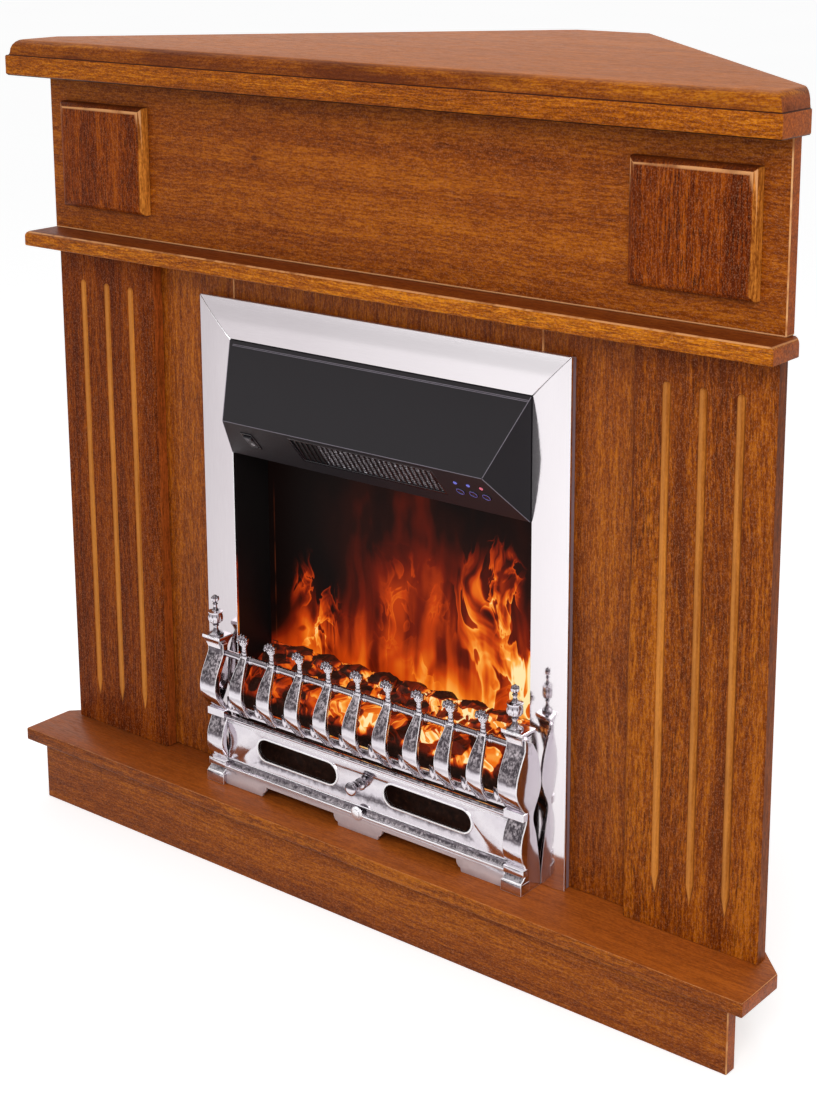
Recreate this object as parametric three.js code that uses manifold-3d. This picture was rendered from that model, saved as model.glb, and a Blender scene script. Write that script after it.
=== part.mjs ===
// Corner fireplace: a veneered corner surround on a plinth, with an inset electric fire.
// Millimetres, +Z up, X across the front, Y from the room towards the corner of the walls.
// Inside the group y = 0 is the front face of the frieze board and x = 0 is the middle.
// The group is moved so that the part stands centred over its own origin.
import * as THREE from 'three';
import { ConvexGeometry } from 'three/addons/geometries/ConvexGeometry.js';
import { mergeVertices } from 'three/addons/utils/BufferGeometryUtils.js';
import Module from 'manifold-3d';

const wasm = await Module();
wasm.setup();

// ---------- driving dimensions: joinery ----------
const fit = 0.3; // clearance between pieces that meet
const boardThickness = 16; // faced board used for the whole surround
const friezeLength = 1000;
const friezeHeight = 188;
const wallGap = 17; // between the end of the frieze and the wall, along the front
const apexWidth = 105; // width of the cut-off rear corner
const plinthHeight = 76;
const plinthEndSetback = 3.5; // of the plinth's ends inside the frieze's
const plinthSetback = 12; // from the front edge of the hearth board
const hearthEndOverhang = 18; // past the ends of the frieze
const hearthOverhang = 70; // in front of the frieze
const arris = 1; // eased edge of the boards
const shelfRoom = 36; // between the top of the fire's trim and the mid shelf
const pilasterWidth = 160;
const pilasterEndSetback = 5.5; // from the end of the frieze
const pilasterEdgeRadius = 5;
const fluteCount = 3;
const flutePitch = 41;
const fluteRadius = 4.8;
const fluteTopMargin = 42;
const fluteBottomMargin = 38;
const flutePointLength = 22;
const flutePointRadius = 0.6;
const fluteTopArc = 75; // degrees of round at the upper end of a flute
const midShelfThickness = 18;
const midShelfEndOverhang = 10;
const midShelfOverhang = 42;
const midShelfRound = 6;
const rosetteWidth = 140;
const rosetteHeight = 126;
const rosetteDepth = 14;
const rosetteRound = 11;
const rosetteFlat = 6.3; // straight part of the rosette's edge, before the round
const rosetteEndSetback = 98; // of the rosette's middle from the end of the frieze
const mantelEndOverhang = 17;
const mantelOverhang = 53;
const mantelEdgeHeight = 24;
const mantelMouldHeight = 18;
const mantelMouldDepth = 16;
const mantelQuirk = 3; // height of the small hollow under the mantel's round
const mantelQuirkDepth = 4;
const levelStep = 0.01; // rise of a face that is all but level
const roundAngles = [18, 36, 54, 72, 90]; // degrees of turn at the steps of a rounded edge
const openingSideRoom = 2.5; // beside the case of the fire
const openingHeadRoom = 21; // above the case of the fire
const panelLap = 48; // height of back panel above the underside of the mid shelf
const stileCover = 110; // width of stile hidden behind the pilaster
const sidePanelSetback = 9; // of the side panels from the wall line, measured along the floor
const plinthRailSetback = 63; // of the plinth side rails from the wall line
const cableWayHeight = 150; // left open under the rear post
const rearPostDepth = 30;

// ---------- driving dimensions: inset fire ----------
const trimWidth = 520;
const trimHeight = 584;
const trimBorder = 47;
const trimDepth = 6;
const trimCrown = 2; // how far the middle of the trim stands proud of its edges
const trimLap = 1.5; // how far the trim covers the edge of the case
const spacerDepth = 7.7;
const spacerInset = 2;
const spacerWidth = 28;
const sheet = 2; // thickness of the case
const caseDepth = 142;
const caseVentCount = 5;
const caseVentWidth = 46;
const caseVentHeight = 6;
const caseVentPitch = 70;
const caseVentDrop = 36; // below the roof of the case
const hoodHeight = 134;
const hoodDepth = 37; // behind the front edge of the hood
const hoodWall = 2.5;
const hoodReach = 45; // ridge in front of the edges
const hoodRidgeDrop = 82; // ridge below the top
const hoodRidgeInset = 29; // ridge ends in from the sides
const hoodSetback = 1; // of the hood's edges from the front of the trim
const grilleInsetLeft = 93; // of the outlet's ends from the ends of the ridge
const grilleInsetRight = 69;
const grilleStart = 7; // down the slope from the ridge
const grilleHeight = 44;
const grilleSlatCount = 24;
const grilleSlatWidth = 3.2;
const grilleThickness = 2;
const rockerInset = 25; // from the left end of the ridge
const rockerDrop = 31;
const rockerWidth = 12;
const rockerLength = 20;
const rockerRise = 2.6;
const rockerDepth = 9;
const rockerPivotDepth = 4;
const rockerEndGap = 1.3; // room for the ends of the rocker as it tilts
const rockerTilt = 5; // degrees that each half of the rocker's face slopes
const buttonCount = 3;
const buttonPitch = 17;
const buttonInset = 28; // of the middle button from the right end of the ridge
const buttonDrop = 36;
const buttonRadius = 5.6;
const buttonProud = 0.9;
const buttonFlange = 1.6;
const buttonFlangeThickness = 1;
const buttonStem = 6;
const buttonStemRadius = 2;
const buttonTravel = 1.5;
const indicatorRise = 15; // above the buttons, along the slope
const indicatorRadius = 2.2;
const indicatorProud = 0.5;
const indicatorStripMargin = 5.5; // beyond the outer lamps
const indicatorStripWidth = 6.4;
const boardPlate = 1.6; // printed circuit board
const controlMargin = 11; // of the control board beyond the outer buttons
const controlHeight = 24;
const controlPillarRadius = 2;
const controlPillarSpacing = 16;
const fanRadius = 20;
const fanLength = 180;
const fanBladeCount = 8;
const fanBladeThickness = 1.4;
const fanBladeDepth = 7;
const fanBladeInset = 0.6; // of the blades inside the edge of the discs
const fanDiscThickness = 2;
const fanShaftRadius = 2.5;
const fanBack = 12; // fan axis behind the front of the trim
const fanDrop = 43; // fan axis below the roof of the hood
const fanCradleGap = 3; // between the ends of the fan and the cradle
const cradleSheet = 1.5;
const fanPlateFront = -8; // front and back of the cradle's plate, back from the fan's axis
const fanPlateBack = 20;
const fanEar = [[-28, -54], [-10, -58], [16, -20], [fanPlateBack, fanDrop], [fanPlateFront, fanDrop],
  [-16, 6], [-28, -36]]; // outline of a cradle's ear, back from and above the fan's axis
const motorRadius = 17;
const motorEndRadius = 12;
const motorChamfer = 3;
const motorLength = 30;
const motorRoom = 4.2; // between the spindle's motor and the case
const elementDepth = 16;
const elementHeight = 22;
const elementDrop = 90; // element's middle below the roof of the hood
const elementForward = 7; // element's middle in front of the trim
const elementSlotCount = 12;
const elementSlotWidth = 4;
const elementSlotDepth = 3;
const elementRim = 3; // above and below the slots
const screenThickness = 3;
const screenBack = 60; // behind the front of the trim
const spindleBack = 96;
const spindleHeight = 62; // axis above the case floor
const spindleRadius = 4;
const spindleFinCount = 9;
const spindleFinSpan = 24;
const spindleFinWidth = 26;
const spindleFinThickness = 1;
const spindleEar = { front: 7, back: 30, foot: 12, head: 8, neck: 16 }; // back from, above and below the axis
const ledBoardInset = 10; // inside each end of the spindle
const ledBoardWidth = 22;
const ledCount = 11;
const ledSize = 5;
const glandRadius = 9;
const glandLength = 18;
const glandFlangeRadius = 13;
const glandFlangeThickness = 3;
const glandBoreRadius = 4.5;
const glandHeight = 40;
const glandInset = 64.5; // from the side of the case

// ---------- driving dimensions: coal bed ----------
const bedFrontHeight = 128;
const bedRearHeight = 168;
const bedShoulder = 20; // depth of the level front edge of the heap
const bedSetback = 1; // behind the front of the trim
const coalStretch = [1.1, 0.95, 0.8];
const coalRadius = 20;
const coalEndSpace = 40; // from the outermost coals to the side of the case
const coalRows = [
  { count: 8, share: 0.2, lift: 0.1 },
  { count: 9, share: 0.47, lift: 0.7 },
  { count: 8, share: 0.71, lift: 0.95 },
]; // coals in a row, the row's share of the bed's depth, and its lift in coal radii above the slope

// ---------- driving dimensions: fret ----------
const barCount = 9;
const barEndSpace = 0.47; // more than one pitch from the end bars to the posts, both ends together
const barWidth = 15;
const barThickness = 6;
const barBulge = 12; // how far the bars swell in front of the rails
const barBulgeSkew = 0.8; // below 1 puts the fullest place under the middle
const railBack = 24; // centre of the top rail in front of the trim
const fretInset = 32; // of the fret's ends inside the trim's
const fretReach = 36; // front face of the posts in front of the trim
const lowerRailHeight = 92; // underside of the lower rail above the hearth
const lowerRailRise = 9;
const lowerRailDepth = 8;
const lowerRailChamfer = [2, 3]; // depth and height
const topRailHeight = 163;
const topRailRadius = 3.6;
const collarRadius = 5.2;
const collarWidth = 3;
const clawHeight = 33; // above the middle of the top rail
const clawNeck = 7;
const clawNeckRings = [[0, barWidth, barThickness], [0.25, 9.8, barThickness], [0.5, clawNeck, 5.4],
  [0.75, 11.2, 8.4]]; // [share of the claw's height, width, depth]
const clawRadius = 8;
const clawShape = [1, 0.8, 0.9];
const toeCount = 4;
const toeRadius = 2.8;
const toeForward = 3.6;
const toeArch = 4; // drop of the outer toes
const leafRadius = 4;
const leafShape = [0.9, 0.7, 1.3];
const leafSpread = 3; // of the two leaves from the middle of the gap
const leafBack = 2.4;
const postWidth = 22;
const postThickness = 8;
const postCapWidth = 28;
const postCapDepth = 24;
const postCapHeight = 10;
const postRise = 22; // of the post's top above the middle of the top rail
const postFoot = [[0, 0], [0, 14], [7, 20], [9, 27], [4, 35], [0, 50], [2, 66], [7, 76], [10, 84],
  [8, 92]]; // front edge of the post below the lower rail, as [back, height]
const postCapRings = [[1.6, 0.75], [1, 0.8], [0.9, 1], [0, 1]]; // [share of the cap's height down, width]
const sidePlateThickness = 4;
const sidePlateRear = [[0, 0], [1, 20], [8, 60], [14, 84], [4, 105], [0, 120], [5, 148],
  [16, 168]]; // rear edge of the side plate, as [forward from the trim, height]
const finialHeight = 50;
const finialProfile = [[0.42, 0], [0.42, 0.04], [0.2, 0.1], [0.12, 0.2], [0.16, 0.25], [0.34, 0.34],
  [0.38, 0.44], [0.36, 0.54], [0.42, 0.57], [0.16, 0.62], [0.1, 0.72], [0.2, 0.78], [0.24, 0.87],
  [0.18, 0.95], [0.06, 1]]; // [radius per post width, height per finial height]
const coverTop = 86;
const coverThickness = 4;
const coverSlotLength = 122;
const coverSlotHeight = 26;
const coverSlotOffset = 96;
const coverSlotCentre = 57;
const coverMouldHeight = 30; // top of the lower moulding above the hearth
const coverMouldRise = 12;
const coverMouldReach = 6;
const coverTopBead = 5;
const coverFootWidth = 58;
const coverArchHeight = 13;
const coverArchCorner = 7;
const coverArchEase = 2;
const coverSetback = 2; // of the cover's plate behind the front of the rails
const coverLip = 1; // how far the mouldings overlap the plate
const coverSkirtSetback = 0.5;
const knobLength = 20;
const knobRadius = 7;
const knobProfile = [[0.7, 0], [0.75, 0.1], [0.4, 0.18], [0.35, 0.35], [0.7, 0.42], [0.75, 0.5], [0.45, 0.58],
  [0.8, 0.68], [1, 0.82], [0.8, 0.95], [0.3, 1]]; // [radius per knob radius, height per knob length]
const bossRadius = 8;
const bossShape = [1, 0.5, 1];

// ---------- levels and planes that follow ----------
const wallLine = friezeLength / 2 + wallGap; // |x| + y of the two walls that the unit stands against
const hearthTop = plinthHeight + boardThickness;
const midShelfUnder = hearthTop + trimHeight + shelfRoom;
const friezeUnder = midShelfUnder + midShelfThickness;
const mantelUnder = friezeUnder + friezeHeight;
const panelFace = boardThickness + fit; // front of the back panel
const panelBack = panelFace + boardThickness;
const hearthFront = -hearthOverhang;
const rearFace = wallLine - apexWidth / 2;
const fireBase = hearthTop + fit;
const trimTop = fireBase + trimHeight;
const trimBack = panelFace - fit - spacerDepth - fit;
const trimFront = trimBack - trimDepth;
const caseFront = trimBack + fit;
const caseBack = caseFront + caseDepth;
const caseHalf = trimWidth / 2 - trimBorder + trimLap;
const caseInner = caseHalf - sheet;
const caseFloor = fireBase + sheet;
const caseTop = trimTop - trimBorder + trimLap;
const caseRoof = caseTop - sheet;
const insideHalf = caseInner - fit;
const hoodTop = caseRoof - fit;
const hoodBottom = hoodTop - hoodHeight;
const hoodEdge = trimFront + hoodSetback;
const hoodRidge = hoodEdge - hoodReach;
const hoodRidgeTop = hoodTop - hoodRidgeDrop;
const hoodRidgeHalf = insideHalf - hoodRidgeInset;
const hoodBack = hoodEdge + hoodDepth;
const buttonOffset = hoodRidgeHalf - buttonInset;
const grilleLength = 2 * hoodRidgeHalf - grilleInsetLeft - grilleInsetRight;
const grilleOffset = (grilleInsetLeft - grilleInsetRight) / 2;
const spindleEnd = caseInner - motorRoom - motorLength - fit;
const spindleHalf = spindleEnd - 2 * cradleSheet;
const postHeight = topRailHeight + postRise;
const fretHalf = trimWidth / 2 - fretInset;
const fretFront = trimFront - fretReach;
const fretBack = trimFront - fit;

// ---------- finishes ----------
function finish(color, roughness, metalness, extra = {}) {
  return new THREE.MeshStandardMaterial({ color, roughness, metalness, ...extra });
}
const walnut = finish(0x96581e, 0.45, 0);
const darkWalnut = finish(0x733e1c, 0.5, 0);
const chipboard = finish(0xb99a6b, 0.9, 0);
const chrome = finish(0xdcdcdf, 0.12, 1);
const satin = finish(0xe2e0e2, 0.3, 0.9);
const greyPaint = finish(0x9b949f, 0.5, 0.2);
const blackPlastic = finish(0x302c30, 0.4, 0);
const blackSteel = finish(0x1d1c1d, 0.6, 0.3);
const galvanised = finish(0x9ea2a5, 0.45, 0.8);
const copperBoard = finish(0x2f6b3c, 0.6, 0);
const smokedScreen = finish(0x1a0d08, 0.2, 0);
const embers = finish(0xd8540f, 0.8, 0, { emissive: 0x7a2400 });
const indicatorLens = finish(0x7f8fd0, 0.3, 0);

// ---------- solids ----------
function solidOf(geometry) {
  const bare = geometry.clone();
  bare.deleteAttribute('normal');
  bare.deleteAttribute('uv');
  const merged = mergeVertices(bare, 1e-4);
  const corners = merged.index.array;
  const kept = [];
  for (let i = 0; i < corners.length; i += 3) {
    const [a, b, c] = [corners[i], corners[i + 1], corners[i + 2]];
    if (a !== b && b !== c && c !== a) kept.push(a, b, c);
  }
  const mesh = new wasm.Mesh({
    numProp: 3,
    vertProperties: new Float32Array(merged.attributes.position.array),
    triVerts: new Uint32Array(kept),
  });
  return new wasm.Manifold(mesh);
}

function geometryOf(solid) {
  const mesh = solid.getMesh();
  const geometry = new THREE.BufferGeometry();
  geometry.setAttribute('position', new THREE.BufferAttribute(new Float32Array(mesh.vertProperties), 3));
  geometry.setIndex(new THREE.BufferAttribute(new Uint32Array(mesh.triVerts), 1));
  geometry.computeVertexNormals();
  return geometry;
}

function joined(geometries) {
  const solids = geometries.map(solidOf);
  return geometryOf(solids.slice(1).reduce((whole, next) => whole.add(next), solids[0]));
}

function cut(geometry, cutters) {
  const cutter = cutters.map(solidOf);
  return geometryOf(cutter.reduce((rest, next) => rest.subtract(next), solidOf(geometry)));
}

// ---------- shapes ----------
function block(xLo, xHi, yLo, yHi, zLo, zHi) {
  const geometry = new THREE.BoxGeometry(xHi - xLo, yHi - yLo, zHi - zLo);
  return geometry.translate((xLo + xHi) / 2, (yLo + yHi) / 2, (zLo + zHi) / 2);
}

function shapeOf(points, holes = []) {
  const shape = new THREE.Shape(points.map(([a, b]) => new THREE.Vector2(a, b)));
  for (const hole of holes) {
    shape.holes.push(new THREE.Path(hole.map(([a, b]) => new THREE.Vector2(a, b))));
  }
  return shape;
}

function extruded(shape, depth) {
  return new THREE.ExtrudeGeometry(shape, { depth, bevelEnabled: false, curveSegments: 10 });
}

// a (y, z) outline drawn out along X
function alongX(points, xLo, xHi) {
  const turn = new THREE.Matrix4().makeBasis(
    new THREE.Vector3(0, 1, 0), new THREE.Vector3(0, 0, 1), new THREE.Vector3(1, 0, 0));
  return extruded(shapeOf(points), xHi - xLo).applyMatrix4(turn).translate(xLo, 0, 0);
}

// an (x, z) outline drawn out along Y
function alongY(points, yLo, yHi, holes = []) {
  const geometry = extruded(shapeOf(points, holes), yHi - yLo);
  return geometry.rotateX(Math.PI / 2).translate(0, yHi, 0);
}

// an (x, y) outline drawn out along Z
function alongZ(points, zLo, zHi) {
  return extruded(shapeOf(points), zHi - zLo).translate(0, 0, zLo);
}

// closed skin over rings of equal count, each ring running anticlockwise about the way ahead
function lofted(rings) {
  const count = rings[0].length;
  const positions = rings.flat(2);
  const index = [];
  for (let r = 0; r + 1 < rings.length; r += 1) {
    for (let i = 0; i < count; i += 1) {
      const [a, b] = [r * count + i, r * count + (i + 1) % count];
      index.push(a, b, b + count, a, b + count, a + count);
    }
  }
  const last = (rings.length - 1) * count;
  for (const [ring, start, flip] of [[rings[0], 0, true], [rings.at(-1), last, false]]) {
    for (const [a, b, c] of capTriangles(ring)) {
      index.push(start + a, start + (flip ? c : b), start + (flip ? b : c));
    }
  }
  const geometry = new THREE.BufferGeometry();
  geometry.setAttribute('position', new THREE.Float32BufferAttribute(positions, 3));
  geometry.setIndex(index);
  return geometry;
}

function capTriangles(ring) {
  const normal = new THREE.Vector3();
  const corners = ring.map((point) => new THREE.Vector3(...point));
  corners.forEach((point, i) => {
    normal.add(new THREE.Vector3().crossVectors(point, corners[(i + 1) % corners.length]));
  });
  normal.normalize();
  const across = new THREE.Vector3().subVectors(corners[1], corners[0]).normalize();
  const up = new THREE.Vector3().crossVectors(normal, across);
  const flat = corners.map((point) => new THREE.Vector2(point.dot(across), point.dot(up)));
  return THREE.ShapeUtils.triangulateShape(flat, []);
}

// a turned piece on the Z axis from [radius, z] pairs, closed at both ends of the axis
function turned(profile, segments = 16) {
  const [bottom, top] = [profile[0][1], profile.at(-1)[1]];
  const points = [[0, bottom], ...profile, [0, top]].map(([r, z]) => new THREE.Vector2(r, z));
  return new THREE.LatheGeometry(points, segments).rotateX(Math.PI / 2);
}

// faceted ball, finer with each step of detail
function ball(radius, x, y, z, detail = 1) {
  return new THREE.IcosahedronGeometry(radius, detail).translate(x, y, z);
}

// points of an arc in a plane, by centre, radius and angles in degrees
function arc(a, b, radius, from, to, steps) {
  return Array.from({ length: steps + 1 }, (_, i) => {
    const angle = THREE.MathUtils.degToRad(from + ((to - from) * i) / steps);
    return [a + radius * Math.cos(angle), b + radius * Math.sin(angle)];
  });
}

// even places of a row of things, centred on zero
function places(count, pitch) {
  return Array.from({ length: count }, (_, i) => (i - (count - 1) / 2) * pitch);
}

const fireplace = new THREE.Group();
fireplace.position.y = -(hearthFront + rearFace) / 2;

function add(name, geometry, material, parent = fireplace) {
  const mesh = new THREE.Mesh(geometry, material);
  mesh.name = name;
  parent.add(mesh);
  return mesh;
}

// the same piece at both ends, with side = -1 on the left and +1 on the right
function pair(name, make, material, parent = fireplace) {
  add(`${name}_left`, make(-1), material, parent);
  add(`${name}_right`, make(1), material, parent);
}

function mirroredBlock(side, xIn, xOut, yLo, yHi, zLo, zHi) {
  const [a, b] = side < 0 ? [-xOut, -xIn] : [xIn, xOut];
  return block(a, b, yLo, yHi, zLo, zHi);
}

// outline points given for the right-hand side, mirrored for the left and kept anticlockwise
function sided(side, points) {
  return side > 0 ? points : points.map(([x, y]) => [-x, y]).reverse();
}

// ---------- boards that reach back to the walls ----------
function cornerOutline(length, front, inset) {
  const half = length / 2 - inset;
  return [
    [-half, front + inset],
    [half, front + inset],
    [half, wallLine - half],
    [apexWidth / 2, rearFace],
    [-apexWidth / 2, rearFace],
    [-half, wallLine - half],
  ];
}

// each step gives a height and how far the front and ends are set in there
function cornerBoard(length, front, steps) {
  return lofted(steps.map(([z, inset]) => cornerOutline(length, front, inset).map(([x, y]) => [x, y, z])));
}

function easedSteps(zLo, zHi) {
  return [[zLo, arris], [zLo + arris, 0], [zHi - arris, 0], [zHi, arris]];
}

function makeHearthBoard() {
  const length = friezeLength + 2 * hearthEndOverhang;
  return cornerBoard(length, hearthFront, easedSteps(plinthHeight, hearthTop));
}

// vertical edge, small quirk, then a hollow and a round up to the top face
function makeMantelShelf() {
  const edgeTop = mantelUnder + mantelEdgeHeight;
  const round = mantelMouldHeight - mantelQuirk;
  const steps = [[mantelUnder, 2 * arris], [mantelUnder + 2 * arris, 0], [edgeTop - arris, 0]];
  steps.push([edgeTop, arris]);
  steps.push([edgeTop + levelStep, mantelQuirkDepth - arris], [edgeTop + mantelQuirk, mantelQuirkDepth]);
  for (const angle of roundAngles) {
    const turn = THREE.MathUtils.degToRad(angle);
    const inset = mantelQuirkDepth + (mantelMouldDepth - mantelQuirkDepth) * (1 - Math.cos(turn));
    steps.push([edgeTop + mantelQuirk + round * Math.sin(turn), inset]);
  }
  return cornerBoard(friezeLength + 2 * mantelEndOverhang, -mantelOverhang, steps);
}

// strip between pilasters and frieze, with ends cut to the wall line and a rounded top edge
function makeMidShelf() {
  const steps = [[0, arris], [arris, 0], [midShelfThickness - midShelfRound, 0]];
  for (const angle of roundAngles) {
    const turn = THREE.MathUtils.degToRad(angle);
    const rise = midShelfThickness - midShelfRound + midShelfRound * Math.sin(turn);
    steps.push([rise, midShelfRound * (1 - Math.cos(turn))]);
  }
  return lofted(steps.map(([rise, inset]) => {
    const half = friezeLength / 2 + midShelfEndOverhang - inset;
    const back = wallLine - boardThickness;
    const front = -midShelfOverhang + inset;
    const corners = [
      [-half, front], [half, front], [half, wallLine - half],
      [back, boardThickness], [-back, boardThickness], [-half, wallLine - half],
    ];
    return corners.map(([x, y]) => [x, y, midShelfUnder + rise]);
  }));
}

// ---------- uprights ----------
const pilasterOuter = friezeLength / 2 - pilasterEndSetback;
const pilasterInner = pilasterOuter - pilasterWidth;
const openingHalf = caseHalf + openingSideRoom;

function fluteCutter(x) {
  const zLo = hearthTop + fluteBottomMargin;
  const zHi = midShelfUnder - fluteTopMargin;
  const point = [[flutePointRadius, zLo], [fluteRadius, zLo + flutePointLength]];
  const end = arc(0, zHi - fluteRadius, fluteRadius, 0, fluteTopArc, 3);
  return turned([...point, ...end], 12).translate(x, 0, 0);
}

function makePilaster(side) {
  const radius = pilasterEdgeRadius;
  const rounded = arc(pilasterInner + radius, radius, radius, 180, 270, 4);
  const outline = [
    ...rounded,
    [pilasterOuter, 0],
    [pilasterOuter, boardThickness],
    [pilasterInner, boardThickness],
  ];
  const board = alongZ(sided(side, outline), hearthTop + fit, midShelfUnder - fit);
  const middle = (pilasterInner + pilasterOuter) / 2;
  return cut(board, places(fluteCount, flutePitch).map((x) => fluteCutter(side * (middle + x))));
}

// raised block with a rounded edge on the frieze
function makeRosette(side) {
  const x = side * (friezeLength / 2 - rosetteEndSetback);
  const z = friezeUnder + friezeHeight / 2;
  const steps = [[-fit, 0], [-rosetteFlat, 0]];
  for (const angle of roundAngles) {
    const turn = THREE.MathUtils.degToRad(angle);
    const reach = rosetteFlat + (rosetteDepth - rosetteFlat) * Math.sin(turn);
    steps.push([-reach, rosetteRound * (1 - Math.cos(turn))]);
  }
  return lofted(steps.map(([y, inset]) => {
    const [w, h] = [rosetteWidth / 2 - inset, rosetteHeight / 2 - inset];
    return [[x - w, y, z - h], [x + w, y, z - h], [x + w, y, z + h], [x - w, y, z + h]];
  }));
}

function makeStile(side) {
  const outer = pilasterInner + stileCover;
  const top = midShelfUnder + panelLap;
  return mirroredBlock(side, openingHalf, outer, panelFace, panelBack, hearthTop + fit, top);
}

function makeTopRail() {
  const half = openingHalf - fit;
  return block(-half, half, panelFace, panelBack, caseTop + openingHeadRoom, midShelfUnder + panelLap);
}

// board standing along the wall line, set back from it, from a front plane to a rear plane
function wallBoard(side, setback, front, rear, zLo, zHi) {
  const outer = wallLine - setback;
  const inner = outer - boardThickness * Math.SQRT2;
  const outline = [[inner - front, front], [outer - front, front], [outer - rear, rear]];
  outline.push([inner - rear, rear]);
  return alongZ(sided(side, outline), zLo, zHi);
}

function makeSidePanel(side) {
  const rear = rearFace - sidePanelSetback;
  return wallBoard(side, sidePanelSetback, panelFace, rear, hearthTop + fit, mantelUnder - fit);
}

function makePlinthRail(side) {
  const front = hearthFront + plinthSetback + boardThickness + fit;
  const rear = rearFace - plinthRailSetback;
  return wallBoard(side, plinthRailSetback, front, rear, 0, plinthHeight - fit);
}

function makeRearPost() {
  const inner = wallLine - sidePanelSetback - boardThickness * Math.SQRT2;
  const rear = rearFace - sidePanelSetback - boardThickness * Math.SQRT2;
  const front = rear - rearPostDepth;
  const gap = fit * Math.SQRT2;
  const half = (y) => inner - gap - y;
  const outline = [[-half(front), front], [half(front), front], [half(rear), rear], [-half(rear), rear]];
  return alongZ(outline, hearthTop + cableWayHeight, mantelUnder - fit);
}

function makeFrieze() {
  const half = friezeLength / 2;
  return block(-half, half, 0, boardThickness, friezeUnder + fit, mantelUnder - fit);
}

function makePlinthFront() {
  const half = friezeLength / 2 - plinthEndSetback;
  const front = hearthFront + plinthSetback;
  return block(-half, half, front, front + boardThickness, 0, plinthHeight - fit);
}

add('mantel_shelf', makeMantelShelf(), walnut);
add('frieze_board', makeFrieze(), walnut);
pair('rosette', makeRosette, darkWalnut);
add('mid_shelf', makeMidShelf(), walnut);
pair('pilaster', makePilaster, darkWalnut);
pair('stile', makeStile, walnut);
add('top_rail', makeTopRail(), walnut);
add('hearth_board', makeHearthBoard(), walnut);
add('plinth_front', makePlinthFront(), walnut);
pair('plinth_rail', makePlinthRail, chipboard);
pair('side_panel', makeSidePanel, walnut);
add('rear_post', makeRearPost(), chipboard);

// ---------- inset fire: case, spacer and trim ----------
function makeCase() {
  const outer = block(-caseHalf, caseHalf, caseFront, caseBack, fireBase, caseTop);
  const inside = block(-caseInner, caseInner, caseFront - sheet, caseBack - sheet, caseFloor, caseRoof);
  const ventTop = caseRoof - caseVentDrop;
  const vents = places(caseVentCount, caseVentPitch).map((x) => block(x - caseVentWidth / 2,
    x + caseVentWidth / 2, caseBack - 2 * sheet, caseBack + sheet, ventTop - caseVentHeight, ventTop));
  return cut(outer, [inside, ...vents]);
}

function makeSpacer() {
  const half = trimWidth / 2 - spacerInset;
  const inner = half - spacerWidth;
  const top = trimTop - spacerInset;
  const outline = [
    [-half, fireBase], [-inner, fireBase], [-inner, top - spacerWidth],
    [inner, top - spacerWidth], [inner, fireBase], [half, fireBase], [half, top], [-half, top],
  ];
  return alongY(outline, panelFace - fit - spacerDepth, panelFace - fit);
}

// section of the trim as [distance in from its outer edge, y], crowned towards the room
function trimSection(start, stop) {
  const steps = 6;
  const crown = Array.from({ length: steps + 1 }, (_, i) => {
    const share = i / steps;
    const bow = trimCrown * (1 - (2 * share - 1) ** 2);
    return [start + (stop - start) * share, trimFront + trimCrown - bow];
  });
  return [...crown, [stop, trimBack], [start, trimBack]];
}

function makeTrimSide(side) {
  const section = trimSection(0, trimBorder).map(([d, y]) => [trimWidth / 2 - d, y, d]);
  const ring = side > 0 ? section.reverse() : section;
  const foot = ring.map(([x, y]) => [side * x, y, fireBase]);
  const mitre = ring.map(([x, y, d]) => [side * x, y, trimTop - d - fit]);
  return lofted([foot, mitre]);
}

function makeTrimTop() {
  const section = trimSection(0, trimBorder);
  const end = (side) => section.map(([d, y]) => [side * (trimWidth / 2 - d - fit), y, trimTop - d]);
  return lofted([end(-1), end(1)]);
}

add('fire_case', makeCase(), blackSteel);
add('spacer_frame', makeSpacer(), greyPaint);
pair('trim', makeTrimSide, satin);
add('trim_top', makeTrimTop(), satin);

// ---------- hood ----------
const hoodSection = [
  [hoodEdge, hoodBottom], [hoodBack, hoodBottom], [hoodBack, hoodTop], [hoodEdge, hoodTop],
  [hoodRidge, hoodRidgeTop],
];

// each side of a convex outline moved inwards by its own amount
function insetOutline(points, amounts) {
  const lines = points.map(([a, b], i) => {
    const [c, d] = points[(i + 1) % points.length];
    const length = Math.hypot(c - a, d - b);
    const normal = [(b - d) / length, (c - a) / length];
    return { normal, offset: normal[0] * a + normal[1] * b + amounts[i] };
  });
  return lines.map((line, i) => {
    const before = lines[(i + lines.length - 1) % lines.length];
    const [p, q] = [before.normal, line.normal];
    const spread = p[0] * q[1] - p[1] * q[0];
    return [
      (before.offset * q[1] - line.offset * p[1]) / spread,
      (p[0] * line.offset - q[0] * before.offset) / spread,
    ];
  });
}

// the ridge, which is the last point of the section, is shorter than the rest
function hoodForm(section, half, ridgeHalf) {
  const corners = section.flatMap(([y, z], i) => {
    const reach = i === section.length - 1 ? ridgeHalf : half;
    return [new THREE.Vector3(-reach, y, z), new THREE.Vector3(reach, y, z)];
  });
  return new ConvexGeometry(corners);
}

// lower slope of the hood: X across, Y up the slope to the ridge, Z out of it
const slopeRise = hoodRidgeTop - hoodBottom;
const slope = new THREE.Group();
slope.position.set(0, hoodRidge, hoodRidgeTop);
slope.rotation.x = Math.atan2(slopeRise, -hoodReach);
slope.updateMatrix();
fireplace.add(slope);
const wallInside = -hoodWall - fit; // level that touches the inner face of the slope

const buttonPlaces = places(buttonCount, buttonPitch).map((x) => [buttonOffset + x, -buttonDrop]);
const indicatorPlaces = buttonPlaces.map(([x, y]) => [x, y + indicatorRise]);
const rockerPlace = [rockerInset - hoodRidgeHalf, -rockerDrop];
const grillePlace = [grilleOffset, -(grilleStart + grilleHeight / 2)];

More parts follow.
